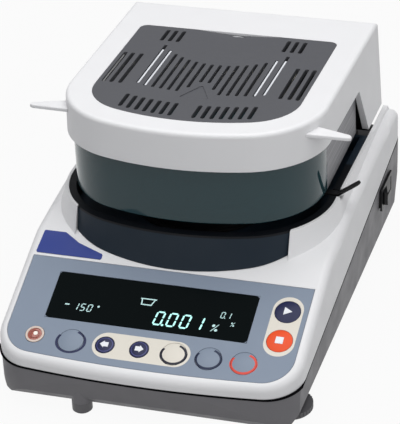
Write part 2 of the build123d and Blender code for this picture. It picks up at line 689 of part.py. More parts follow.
def side_shield(side):
    """Bright metal plate that closes one side of the chamber, with a stiffening flange."""
    outer = COVER_HALF_W - HOUSING_INSET
    front, rear = GLASS_REAR_Y + JOINT_GAP, SHIELD_REAR_Y
    length = rear - front
    plate = Pos(side * (outer - SHIELD_T / 2), (front + rear) / 2, 0) * Box(
        SHIELD_T, length, BIG, align=(Align.CENTER, Align.CENTER, Align.CENTER))
    flange = Pos(side * (outer - 5), rear - SHIELD_T / 2, 0) * Box(10, SHIELD_T, BIG)
    body = (plate + flange) - under_top(COVER_SKIRT - HOUSING_OVERLAP)
    return body - Pos(0, 0, HOUSING_BOTTOM_Z - BIG / 2) * Box(BIG, BIG, BIG)


def rear_shield():
    """Folded plate that closes the rear of the chamber."""
    half_w = COVER_HALF_W - HOUSING_INSET - 10 - JOINT_GAP
    wall = Pos(0, SHIELD_REAR_Y - SHIELD_T / 2, 0) * Box(2 * half_w, SHIELD_T, BIG)
    body = wall - under_top(COVER_WALL + GRILLE_T)
    body -= Pos(0, 0, HOUSING_BOTTOM_Z - BIG / 2) * Box(BIG, BIG, BIG)
    foot = Pos(0, SHIELD_REAR_Y - SHIELD_T + 6, HOUSING_BOTTOM_Z + SHIELD_T / 2) * Box(
        2 * half_w, 12, SHIELD_T)
    return body + foot


def reflector():
    """Polished sheet over the lamp: a half-round trough between two flat wings."""
    outer = Pos(0, LAMP_Y, TROUGH_Z) * Rotation(0, 90, 0) * Cylinder(REFLECTOR_R, 2 * REFLECTOR_HALF_L)
    inner = trough_space()
    keep = Pos(0, LAMP_Y, WING_Z + BIG / 2) * Box(BIG, BIG, BIG)
    wings = Pos(0, LAMP_Y + 16, WING_Z + REFLECTOR_T / 2) * Box(
        2 * REFLECTOR_HALF_L, REFLECTOR_WINGS, REFLECTOR_T)
    trough = (outer - inner) & keep
    body = trough + (wings - inner)
    for y in (-20, 55):
        lip = Pos(0, LAMP_Y + y, 0) * Box(2 * REFLECTOR_HALF_L - 40, REFLECTOR_T, BIG)
        lip -= under_top(GRILLE_T + DISH_BACKING + FIT_GAP)
        body += lip & keep
    return body


def trough_space():
    """Everything inside the reflector's half-round trough."""
    return Pos(0, LAMP_Y, TROUGH_Z) * Rotation(0, 90, 0) * Cylinder(REFLECTOR_R - REFLECTOR_T, BIG)


def halogen_lamp():
    """Straight halogen tube with a ceramic cap at each end."""
    tube = Rotation(0, 90, 0) * Cylinder(LAMP_R, 2 * LAMP_HALF_L)
    pip = Pos(0, 0, LAMP_R) * Cone(1.6, 0.6, 2.5)
    lamp = tube + pip
    for side in (-1, 1):
        cap = Rotation(0, 90, 0) * Cylinder(CAP_R, CAP_L)
        flat = Box(CAP_L, 4 * CAP_R, 4 * CAP_R) & Box(CAP_L + 1, 2 * CAP_R - 2, 4 * CAP_R)
        lamp += Pos(side * (LAMP_HALF_L + CAP_L / 2 - CAP_OVERLAP), 0, 0) * (cap & flat)
    return Pos(0, LAMP_Y, LAMP_Z) * lamp


def lamp_holders():
    """Two ceramic sockets that carry the lamp's ends, seated in the reflector's trough."""
    x = LAMP_HALF_L + CAP_L - CAP_OVERLAP + FIT_GAP + HOLDER_T / 2
    block = Pos(0, LAMP_Y, LAMP_Z - 10) * Box(
        HOLDER_T, HOLDER_W, 2 * REFLECTOR_R, align=(Align.CENTER, Align.CENTER, Align.MIN))
    return Compound(children=[Pos(side * x, 0, 0) * block & trough_space() for side in (-1, 1)])


def temperature_sensor():
    """Slim probe that hangs from the reflector beside the lamp."""
    rod = Cylinder(1.5, 11, align=(Align.CENTER, Align.CENTER, Align.MAX))
    tip = Pos(0, 0, -11) * Sphere(1.5)
    return Pos(30, LAMP_Y + 30, WING_Z) * (rod + tip)


def grip_tab(side):
    """Slim lifting tab that grows out of the cover's front corner and droops slightly."""
    tip, root = TAB_TIP_X, COVER_HALF_W - 25
    outline = Polyline((root, -36.5), (tip - 2, -30.0), (tip, -28.8), (tip, -26.8), (tip - 1.6, -25.0),
                       (COVER_HALF_W - 6, -20.5), (root, -20), close=True)
    blade = extrude(make_face(outline), TAB_T / 2, both=True)
    edges = blade.edges().filter_by(lambda e: abs(e.center().Z) > TAB_T / 2 - 0.1 and e.center().X > root + 1)
    blade = fillet(edges, 1.0)
    blade = Pos(COVER_HALF_W, 0, TAB_Z) * Rotation(0, TAB_DROOP, 0) * Pos(-COVER_HALF_W, 0, 0) * blade
    blade -= cover_block(COVER_REAR_Y)
    return blade if side > 0 else mirror(blade, Plane.YZ)


def hinge_arms():
    """Barrels of the cover, each on an arm fixed inside one leg."""
    arms = []
    inner = COVER_HALF_W - COVER_WALL
    for side in (-1, 1):
        barrel = Rotation(0, 90, 0) * Cylinder(BARREL_R, BARREL_LENGTH)
        arm = Box(BARREL_LENGTH, 2 * BARREL_R - 4, 34, align=(Align.CENTER, Align.CENTER, Align.MIN))
        bore = Rotation(0, 90, 0) * Cylinder(SHAFT_R + SHAFT_CLEARANCE, BARREL_LENGTH + 2)
        arms.append(Pos(side * (inner - BARREL_LENGTH / 2), HINGE_Y, HINGE_Z) * (barrel + arm - bore))
    return Compound(children=arms)


def hinge_shaft():
    """Steel shaft on which the cover turns."""
    shaft = Rotation(0, 90, 0) * Cylinder(SHAFT_R, 2 * (COVER_HALF_W - COVER_WALL - 0.5))
    shaft = chamfer(shaft.edges(), 0.5)
    return Pos(0, HINGE_Y, HINGE_Z) * shaft


def hinge_brackets():
    """Uprights on the rear deck that hold the shaft."""
    brackets = []
    x = COVER_HALF_W - COVER_WALL - BARREL_LENGTH - BRACKET_GAP - BRACKET_T / 2
    height = HINGE_Z - REAR_DECK_Z
    for side in (-1, 1):
        post = Pos(0, 0, -height) * Box(BRACKET_T, BRACKET_W, height, align=(Align.CENTER, Align.CENTER, Align.MIN))
        eye = Rotation(0, 90, 0) * Cylinder(BRACKET_W / 2, BRACKET_T)
        base = Pos(0, 0, -height) * Box(BRACKET_T + 12, 30, 3, align=(Align.CENTER, Align.CENTER, Align.MIN))
        bore = Rotation(0, 90, 0) * Cylinder(SHAFT_R, BRACKET_T + 2)
        brackets.append(Pos(side * x, HINGE_Y, HINGE_Z) * (post + eye + Pos(-side * 6, 0, 0) * base - bore))
    return Compound(children=brackets)


def tray_notch():
    """Dip in the rim where the pan handle crosses it."""
    dip = Box(30, HANDLE_ARM_W + 4, 10, align=(Align.MIN, Align.CENTER, Align.MIN))
    return Pos(COVER_HALF_W - 8, PAN_Y, COLLAR_TOP_Z - COLLAR_NOTCH + 0.6) * dip


def chamber_tray():
    """Black tray in the collar: rim, floor and the apron that closes its front."""
    outline = -(COLLAR_OFFSET - TRAY_CLEARANCE)
    body = prism(dee_face(TRAY_REAR_Y, outline), DECK_Z, COLLAR_TOP_Z)
    body -= prism(dee_face(TRAY_REAR_Y - TRAY_WALL, outline + TRAY_RIM_W), TRAY_FLOOR_Z, BIG)
    under = dee_face(TRAY_REAR_Y - TRAY_WALL, outline + TRAY_WALL)
    body -= prism(under, DECK_Z - 1, TRAY_FLOOR_Z - TRAY_WALL)
    apron = drafted(0, -APRON_OFFSET, DECK_Z - 6, COLLAR_TOP_Z, COLLAR_TOP_Z, APRON_DRAFT)
    apron -= prism(dee_face(1, outline + 1), 0, BIG)
    slab = Box(2 * (APRON_HALF_W - TRAY_CLEARANCE), 60, BIG, align=(Align.CENTER, Align.MAX, Align.CENTER))
    apron &= Pos(0, COVER_FRONT_Y + APRON_REAR - TRAY_CLEARANCE, 0) * slab
    body += apron & above(panel_z, TRAY_CLEARANCE)
    body -= above(collar_z, -TRAY_CLEARANCE)
    body -= tray_notch()
    return body - Pos(0, PAN_Y, TRAY_FLOOR_Z) * Cylinder(SPINDLE_HOLE_R, 30)


def breeze_ring():
    """Draught ring that stands on the tray round the pan."""
    ring = Cylinder(RING_IN_R + RING_WALL, RING_H, align=(Align.CENTER, Align.CENTER, Align.MIN))
    ring -= Cylinder(RING_IN_R, 4 * RING_H)
    foot = Cylinder(RING_IN_R + RING_WALL + 4, 1.5, align=(Align.CENTER, Align.CENTER, Align.MIN))
    ring += foot - Cylinder(RING_IN_R, 10)
    return Pos(0, PAN_Y, TRAY_FLOOR_Z) * ring


def pan_floor_z():
    """Underside of the sample pan."""
    return PAN_RIM_Z - PAN_DEPTH


def pan_support():
    """Three-armed support on the spindle of the weigh cell."""
    plate_z = pan_floor_z() - SUPPORT_GAP - SUPPORT_T
    ring = Cylinder(SUPPORT_R, SUPPORT_T) - Cylinder(SUPPORT_R - 5, 10)
    hub = Cylinder(9, SUPPORT_T)
    body = ring + hub
    for index in range(3):
        body += Rotation(0, 0, 120 * index + 30) * Pos(SUPPORT_R / 2, 0, 0) * Box(SUPPORT_R - 4, 6, SUPPORT_T)
    body = Pos(0, 0, plate_z + SUPPORT_T / 2) * body
    spindle_low = CELL_TOP_Z + 0.3
    spindle = Cylinder(SPINDLE_R, plate_z - spindle_low, align=(Align.CENTER, Align.CENTER, Align.MIN))
    return Pos(0, PAN_Y, 0) * (body + Pos(0, 0, spindle_low) * spindle)


def sample_pan():
    """Round stamped dish with a rolled rim."""
    low_r = PAN_R - PAN_RIM_W - PAN_WALL_SLOPE
    top_r = PAN_R - PAN_RIM_W
    base, rim = pan_floor_z(), PAN_RIM_Z
    outline = Polyline((0, base), (low_r, base), (top_r, rim - PAN_T), (PAN_R, rim - PAN_T), (PAN_R, rim),
                       (top_r - PAN_T, rim), (low_r - PAN_T, base + PAN_T), (0, base + PAN_T), close=True)
    return Pos(0, PAN_Y, 0) * revolve(Plane.XZ * make_face(outline), Axis.Z)


def pan_handle():
    """Carrier ring under the pan's rim, with an arm and an upturned grip to the right."""
    ring_in = PAN_R - PAN_RIM_W + 0.6
    ring_top = PAN_RIM_Z - PAN_T - FIT_GAP
    ring = Cylinder(ring_in + HANDLE_RING_W, HANDLE_T) - Cylinder(ring_in, 10)
    arm_start = ring_in + 2
    arm = Box(HANDLE_BEND_X - arm_start, HANDLE_ARM_W, HANDLE_T,
              align=(Align.MIN, Align.CENTER, Align.CENTER))
    grip = Box(HANDLE_GRIP, HANDLE_ARM_W, HANDLE_T, align=(Align.MIN, Align.CENTER, Align.CENTER))
    grip = fillet(grip.edges().filter_by(Axis.Z).group_by(Axis.X)[-1], HANDLE_ARM_W / 2 - 0.2)
    body = ring + Pos(arm_start, 0, 0) * arm
    body += Pos(HANDLE_BEND_X - 0.3, 0, 0) * Rotation(0, -HANDLE_RISE, 0) * grip
    return Pos(0, PAN_Y, ring_top - HANDLE_T / 2) * body


def weigh_cell():
    """Machined weighing block: frame, parallel guides cut by slots, and the load arm."""
    centre_y = PAN_Y + CELL_L / 2 - CELL_FRONT
    block = Pos(0, centre_y, CELL_TOP_Z - CELL_H / 2) * Box(CELL_W, CELL_L, CELL_H)
    for z in (CELL_TOP_Z - CELL_GUIDE_INSET, CELL_TOP_Z - CELL_H + CELL_GUIDE_INSET):
        block -= Pos(0, centre_y, z) * Box(CELL_W + 2, CELL_GUIDE_L, 1.2)
        for y in (centre_y - CELL_GUIDE_L / 2, centre_y + CELL_GUIDE_L / 2):
            block -= Pos(0, y, z) * Rotation(0, 90, 0) * Cylinder(2.4, CELL_W + 2)
    block -= Pos(0, centre_y, CELL_TOP_Z - CELL_H / 2) * Box(CELL_W + 2, 24, 14)
    return block


def cell_bridge():
    """Cast cross-beam that carries the weigh cell on the floor of the case."""
    centre_y = PAN_Y + CELL_L - CELL_FRONT - BRIDGE_L / 2
    low = CASE_BOTTOM_Z + WALL
    top = CELL_TOP_Z - CELL_H
    plate = Box(BRIDGE_W, BRIDGE_L, BRIDGE_T, align=(Align.CENTER, Align.CENTER, Align.MAX))
    body = Pos(0, centre_y, top) * plate
    for side in (-1, 1):
        body += Pos(side * (BRIDGE_W / 2 - 7), centre_y, low) * Cylinder(
            6, top - BRIDGE_T - low, align=(Align.CENTER, Align.CENTER, Align.MIN))
    return body


def cell_magnet():
    """Pot magnet of the force coil, in front of the weighing block."""
    centre_y = PAN_Y - CELL_FRONT - MAGNET_R - 3
    pot = Cylinder(MAGNET_R, MAGNET_H, align=(Align.CENTER, Align.CENTER, Align.MIN))
    pot += Cylinder(9, MAGNET_H + 4, align=(Align.CENTER, Align.CENTER, Align.MIN))
    return Pos(0, centre_y, CASE_BOTTOM_Z + WALL) * pot


def main_board():
    """Main electronics board on four posts, left of the weigh cell."""
    return board_on_posts(-BOARD_X, (-20, 30, 14, 10), (12, -25, 20, 6))


def power_board():
    """Power board with its transformer and lamp relay, right of the weigh cell."""
    return board_on_posts(BOARD_X, (-6, -30, 34, 26), (10, 30, 18, 16))


def board_on_posts(x, *blocks):
    """A board on four posts at x, with blocks given as x, y, side and height."""
    y, width, length, height = BOARD_Y, BOARD_W, BOARD_L, BOARD_POST
    low = CASE_BOTTOM_Z + WALL
    body = Pos(x, y, low + height) * Box(
        width, length, BOARD_T, align=(Align.CENTER, Align.CENTER, Align.MIN))
    for side_x in (-1, 1):
        for side_y in (-1, 1):
            post = Cylinder(3, height, align=(Align.CENTER, Align.CENTER, Align.MIN))
            body += Pos(x + side_x * (width / 2 - 5), y + side_y * (length / 2 - 5), low) * post
    for block_x, block_y, side, block_h in blocks:
        body += Pos(x + block_x, y + block_y, low + height + BOARD_T) * Box(
            side, side, block_h, align=(Align.CENTER, Align.CENTER, Align.MIN))
    return body


def rear_wall_y(z):
    """Outer face of the leaning rear wall at a height."""
    top = seam_z(CASE_REAR_Y) - SEAM_GAP - 8
    return CASE_REAR_Y - CASE_REAR_DRAFT * (top - z) / (top - CASE_BOTTOM_Z)


def power_inlet():
    """Mains inlet with three pins in a keyed well."""
    face_y = rear_wall_y(SOCKET_Z)
    shell = Box(INLET_W, SOCKET_DEPTH, INLET_H, align=(Align.CENTER, Align.MAX, Align.CENTER))
    shell = chamfer(shell.edges().filter_by(Axis.Y).group_by(Axis.Z)[-1], 4.0)
    well = Box(INLET_W - 4, SOCKET_DEPTH - 2, INLET_H - 4, align=(Align.CENTER, Align.MAX, Align.CENTER))
    well = chamfer(well.edges().filter_by(Axis.Y).group_by(Axis.Z)[-1], 3.5)
    body = shell - Pos(0, 0.01, 0) * well
    for x, z in ((-7, -2), (7, -2), (0, 3)):
        body += Pos(x, -SOCKET_DEPTH + 1, z) * Box(2, 13, 4, align=(Align.CENTER, Align.MIN, Align.CENTER))
    return Pos(INLET_X, face_y + 1.0, SOCKET_Z) * body


def serial_connector():
    """Twenty-five-way data socket with its flange and two hex standoffs."""
    face_y = rear_wall_y(SOCKET_Z)
    shell = Box(SERIAL_W, SOCKET_DEPTH, SERIAL_H, align=(Align.CENTER, Align.MAX, Align.CENTER))
    shell = fillet(shell.edges().filter_by(Axis.Y), 1.5)
    hollow = Box(SERIAL_W - 2, 10, SERIAL_H - 2)
    body = shell - hollow + Pos(0, -3, 0) * Box(SERIAL_W - 3.5, 5, SERIAL_H - 3.5)
    return Pos(SERIAL_X, face_y + 3.0, SOCKET_Z) * body


def fuse_holder():
    """Round fuse holder with a screwed cap."""
    face_y = rear_wall_y(SOCKET_Z)
    body = Cylinder(FUSE_R, 26, align=(Align.CENTER, Align.CENTER, Align.MAX))
    body += Cylinder(FUSE_R - 0.8, 2.5, align=(Align.CENTER, Align.CENTER, Align.MIN))
    body -= Pos(0, 0, 2.5) * Box(8, 1.4, 2)
    return Pos(FUSE_X, face_y + 1.0, SOCKET_Z) * Rotation(-90, 0, 0) * body


def earth_terminal():
    """Brass earth screw with a washer."""
    face_y = rear_wall_y(SOCKET_Z)
    body = Cylinder(2.0, 14, align=(Align.CENTER, Align.CENTER, Align.MAX))
    body += Pos(0, 0, 1.5) * Cylinder(4.5, 1.0, align=(Align.CENTER, Align.CENTER, Align.MIN))
    head = Cylinder(3.4, 2.2, align=(Align.CENTER, Align.CENTER, Align.MIN)) - Pos(0, 0, 1.8) * Box(8, 1, 1.6)
    body += Pos(0, 0, 2.5) * head + Cylinder(2.0, 2.6, align=(Align.CENTER, Align.CENTER, Align.MIN))
    return Pos(EARTH_X, face_y, SOCKET_Z) * Rotation(-90, 0, 0) * body


def switch_bezel():
    """Frame of the power switch, clipped into the side wall."""
    frame = Box(SWITCH_DEPTH, SWITCH_L, SWITCH_H, align=(Align.MAX, Align.CENTER, Align.CENTER))
    flange = Box(1.5, SWITCH_L + 2 * SWITCH_FLANGE, SWITCH_H + 2 * SWITCH_FLANGE,
                 align=(Align.MIN, Align.CENTER, Align.CENTER))
    flange = fillet(flange.edges().filter_by(Axis.X), 1.5)
    hollow = Box(2 * (SWITCH_DEPTH - 2), SWITCH_L - 3, SWITCH_H - 3)
    return Pos(CASE_HALF_W, SWITCH_Y, SWITCH_Z) * (frame + flange - hollow)


def power_rocker():
    """Two-position rocker, shown pressed at its rear end."""
    half_l, half_h = SWITCH_L / 2 - 2.4, SWITCH_H / 2 - 1.9
    outline = Polyline((-9, -half_l + 3), (0.6, -half_l), (ROCKER_PROUD + 1.5, -half_l),
                       (ROCKER_PROUD - 0.5, 0), (ROCKER_PROUD + 1.5, half_l), (0.6, half_l),
                       (-9, half_l - 3), close=True)
    body = extrude(make_face(outline), half_h, both=True)
    return Pos(CASE_HALF_W, SWITCH_Y, SWITCH_Z) * Rotation(0, 0, ROCKER_TILT) * body


def levelling_foot(side):
    """Knurled levelling foot: disc, collar and threaded stud in one turning piece."""
    disc = Cylinder(LEVEL_DISC_R, LEVEL_DISC_H, align=(Align.CENTER, Align.CENTER, Align.MIN))
    disc = chamfer(disc.edges().group_by(Axis.Z)[0], 1.2)
    for index in range(LEVEL_KNURLS):
        turn = Rotation(0, 0, 360 / LEVEL_KNURLS * index)
        disc -= turn * Pos(LEVEL_DISC_R + 0.3, 0, LEVEL_DISC_H / 2) * Rotation(0, 0, 45) * Box(1.3, 1.3, 20)
    stud_top = CASE_BOTTOM_Z + LEVEL_NUT_H + 6
    stud = Cylinder(LEVEL_STUD_R, stud_top, align=(Align.CENTER, Align.CENTER, Align.MIN))
    stud = chamfer(stud.edges().group_by(Axis.Z)[-1], 0.8)
    return Pos(side * LEVEL_FOOT_X, LEVEL_FOOT_Y, 0) * (disc + stud)


def rear_feet():
    """Two rubber feet under the rear corners."""
    feet = []
    for side in (-1, 1):
        foot = Cylinder(REAR_FOOT_R, CASE_BOTTOM_Z, align=(Align.CENTER, Align.CENTER, Align.MIN))
        foot = chamfer(foot.edges().group_by(Axis.Z)[0], 1.5)
        feet.append(Pos(side * REAR_FOOT_X, REAR_FOOT_Y, 0) * foot)
    return Compound(children=feet)


def front_foot():
    """Small rest foot under the front edge, left of the middle."""
    foot = Cylinder(FRONT_FOOT_R, CASE_BOTTOM_Z, align=(Align.CENTER, Align.CENTER, Align.MIN))
    foot = chamfer(foot.edges().group_by(Axis.Z)[0], 1.0)
    return Pos(FRONT_FOOT_X, FRONT_FOOT_Y, 0) * foot


def build_parts():
    """Every node of the instrument by name."""
    parts = {
        "lower_case": lower_case(),
        "upper_case": upper_case(),
        "case_screws": case_screws(),
        "panel_overlay": panel_overlay(),
        "badge_plate": badge_plate(),
        "display_window": display_window(),
        "display_module": display_module(),
        "key_board": key_board(),
        "level_bezel": level_bezel(),
        "level_vial": level_vial(),
        "chamber_tray": chamber_tray(),
        "breeze_ring": breeze_ring(),
        "pan_support": pan_support(),
        "pan_handle": pan_handle(),
        "sample_pan": sample_pan(),
        "weigh_cell": weigh_cell(),
        "cell_bridge": cell_bridge(),
        "cell_magnet": cell_magnet(),
        "main_board": main_board(),
        "power_board": power_board(),
        "power_inlet": power_inlet(),
        "fuse_holder": fuse_holder(),
        "serial_connector": serial_connector(),
        "earth_terminal": earth_terminal(),
        "switch_bezel": switch_bezel(),
        "power_rocker": power_rocker(),
        "rear_feet": rear_feet(),
        "front_foot": front_foot(),
        "levelling_foot_left": levelling_foot(-1),
        "levelling_foot_right": levelling_foot(1),
        "hinge_brackets": hinge_brackets(),
        "hinge_shaft": hinge_shaft(),
        "hinge_arms": hinge_arms(),
        "heater_cover": heater_cover(),
        "vent_grille": vent_grille(),
        "grip_tab_left": grip_tab(-1),
        "grip_tab_right": grip_tab(1),
        "glass_housing": glass_housing(),
        "side_shield_left": side_shield(-1),
        "side_shield_right": side_shield(1),
        "rear_shield": rear_shield(),
        "reflector": reflector(),
        "halogen_lamp": halogen_lamp(),
        "lamp_holders": lamp_holders(),
        "temperature_sensor": temperature_sensor(),
    }
    for name, x, up, radius in keys():
        parts[name] = on_panel(x, up) * key(radius)
    return parts


os.makedirs("parts", exist_ok=True)
for node, shape in build_parts().items():
    export_step(shape, f"parts/{node}.step")
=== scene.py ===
"""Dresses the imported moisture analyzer: finishes, printed panel, display figures and small fittings."""

import json
import logging
import math
from dataclasses import dataclass, field
from enum import Enum

import bpy
import numpy as np
from mathutils import Matrix, Vector, geometry


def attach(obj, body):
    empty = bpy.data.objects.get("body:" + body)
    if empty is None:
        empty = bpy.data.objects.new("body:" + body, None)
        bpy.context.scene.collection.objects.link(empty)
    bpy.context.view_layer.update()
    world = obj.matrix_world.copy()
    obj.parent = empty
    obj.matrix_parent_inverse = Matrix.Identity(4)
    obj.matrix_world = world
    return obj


MM = 0.001
LOG = logging.getLogger("moisture_analyzer")

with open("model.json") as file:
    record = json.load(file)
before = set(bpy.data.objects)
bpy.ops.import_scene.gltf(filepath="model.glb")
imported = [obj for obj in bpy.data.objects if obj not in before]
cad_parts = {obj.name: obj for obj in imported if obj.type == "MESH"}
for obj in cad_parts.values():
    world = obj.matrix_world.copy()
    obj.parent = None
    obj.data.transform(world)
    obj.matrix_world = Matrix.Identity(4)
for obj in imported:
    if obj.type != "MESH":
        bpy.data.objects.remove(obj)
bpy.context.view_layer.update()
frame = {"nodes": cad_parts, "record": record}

Colour = tuple[float, float, float]
Point = tuple[float, float, float]
Outline = list[tuple[float, float]]


# Shared frame of the sloping panel, as the CAD places it (millimetres)
PANEL_ANGLE = math.radians(22.05)
PANEL_FRONT_Y = -160.0
PANEL_FRONT_Z = 39.5
COVER_FRONT_Y = -67.2
COVER_TOP_Z = 175.5
COVER_TOP_SLOPE = 0.0396
# Parting line of the case: its height at the front edge and its rise towards the rear
SEAM_FRONT_Z = 32.0
SEAM_SLOPE = 0.1176
SEAM_GAP = 0.6
# Direction of the open part of the rings round the keys, from the panel's right
GAP_MIDDLE = math.radians(111.0)
# Places of the keys on the panel: the lower row, the two arrow keys in it and the column of the upper two
KEY_ROW = 22.0
LEFT_ARROW_X = -29.4
RIGHT_ARROW_X = -5.1
STACK_X = 87.2
# Scales of the slow and of the fine noise in a finish, and the part of a noise's range that is used
BROAD_SCALE = 9.0
FINE_SCALE = 70.0
FINE_RANGE = (0.3, 0.7)
LINE_RANGE = (0.35, 0.65)
# Least and greatest roughness along brushed lines, as shares of the metal's own
METAL_SPREAD = (0.8, 1.25)
# Depth of grain and of brushing in metres, and the samples of an edge's softening
GRAIN_DEPTH = 0.0002
BRUSH_DEPTH = 0.0001
BEVEL_SAMPLES = 4
GLASS_INDEX = 1.5


class Body(Enum):
    """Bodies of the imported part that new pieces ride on."""

    BASE = "base"
    COVER = "cover"
    ROCKER = "power_rocker_body"
    LEFT_ARROW = "left_arrow_key_body"
    RIGHT_ARROW = "right_arrow_key_body"
    START = "start_key_body"
    STOP = "stop_key_body"


def panel_point(across: float, up: float, proud: float = 0.0) -> Point:
    """Place on the sloping panel.

    Args:
        across: Distance to the right of the middle, in millimetres.
        up: Distance up the slope from the case's front edge.
        proud: Height above the panel's face.

    Returns:
        The point in millimetres.
    """
    sin, cos = math.sin(PANEL_ANGLE), math.cos(PANEL_ANGLE)
    return (across, PANEL_FRONT_Y + up * cos - proud * sin, PANEL_FRONT_Z + up * sin + proud * cos)


def cover_top(y: float) -> float:
    """Height of the cover's sloping top at a depth y, in millimetres."""
    return COVER_TOP_Z - COVER_TOP_SLOPE * (y - COVER_FRONT_Y)


class NodeTools:
    """Short calls for building a node tree."""

    def __init__(self, tree: bpy.types.NodeTree) -> None:
        """Keeps the tree."""
        self.tree = tree

    def add(self, kind: str, settings: dict | None = None, **inputs: object) -> bpy.types.Node:
        """Adds a node.

        Args:
            kind: Node type without the ShaderNode prefix.
            settings: Attributes of the node itself.
            inputs: Input values or sockets by name, with spaces as underscores.

        Returns:
            The new node.
        """
        node = self.tree.nodes.new("ShaderNode" + kind)
        for name, value in (settings or {}).items():
            setattr(node, name, value)
        for name, value in inputs.items():
            key = int(name[1:]) if name[0] == "i" and name[1:].isdigit() else name.replace("_", " ")
            self.feed(node.inputs[key], value)
        return node

    def feed(self, socket: bpy.types.NodeSocket, value: object) -> None:
        """Links a socket or sets its constant."""
        if isinstance(value, bpy.types.NodeSocket):
            self.tree.links.new(value, socket)
        elif isinstance(value, (tuple, list)) and socket.type == "RGBA" and len(value) == 3:
            socket.default_value = (*value, 1.0)
        else:
            socket.default_value = value

    def math(self, operation: str, *values: object, clamp: bool = False) -> bpy.types.NodeSocket:
        """A Math node's result."""
        inputs = {f"i{index}": value for index, value in enumerate(values)}
        return self.add("Math", {"operation": operation, "use_clamp": clamp}, **inputs).outputs[0]

    def vector(self, operation: str, *values: object, result: str = "Vector") -> bpy.types.NodeSocket:
        """A Vector Math node's result."""
        inputs = {f"i{index}": value for index, value in enumerate(values)}
        return self.add("VectorMath", {"operation": operation}, **inputs).outputs[result]

    def remap(self, value: object, low: float, high: float, to_low: object,
              to_high: object) -> bpy.types.NodeSocket:
        """A clamped Map Range node's result."""
        node = self.add("MapRange", None, Value=value, From_Min=low, From_Max=high, To_Min=to_low,
                        To_Max=to_high)
        return node.outputs["Result"]

    def mix(self, factor: object, first: object, second: object) -> bpy.types.NodeSocket:
        """Mixes two colours."""
        node = self.add("Mix", {"data_type": "RGBA"})
        self.feed(node.inputs["Factor"], factor)
        self.feed(node.inputs[6], first)
        self.feed(node.inputs[7], second)
        return node.outputs[2]


def new_group(name: str, inputs: dict[str, str], outputs: dict[str, str]) -> tuple[NodeTools, object, object]:
    """Starts a shader node group with named sockets.

    Args:
        name: Name of the group.
        inputs: Socket type by input name.
        outputs: Socket type by output name.

    Returns:
        Node tools, and the group's input and output nodes.
    """
    tree = bpy.data.node_groups.new(name, "ShaderNodeTree")
    for socket, kind in inputs.items():
        tree.interface.new_socket(socket, in_out="INPUT", socket_type="NodeSocket" + kind)
    for socket, kind in outputs.items():
        tree.interface.new_socket(socket, in_out="OUTPUT", socket_type="NodeSocket" + kind)
    return NodeTools(tree), tree.nodes.new("NodeGroupInput"), tree.nodes.new("NodeGroupOutput")


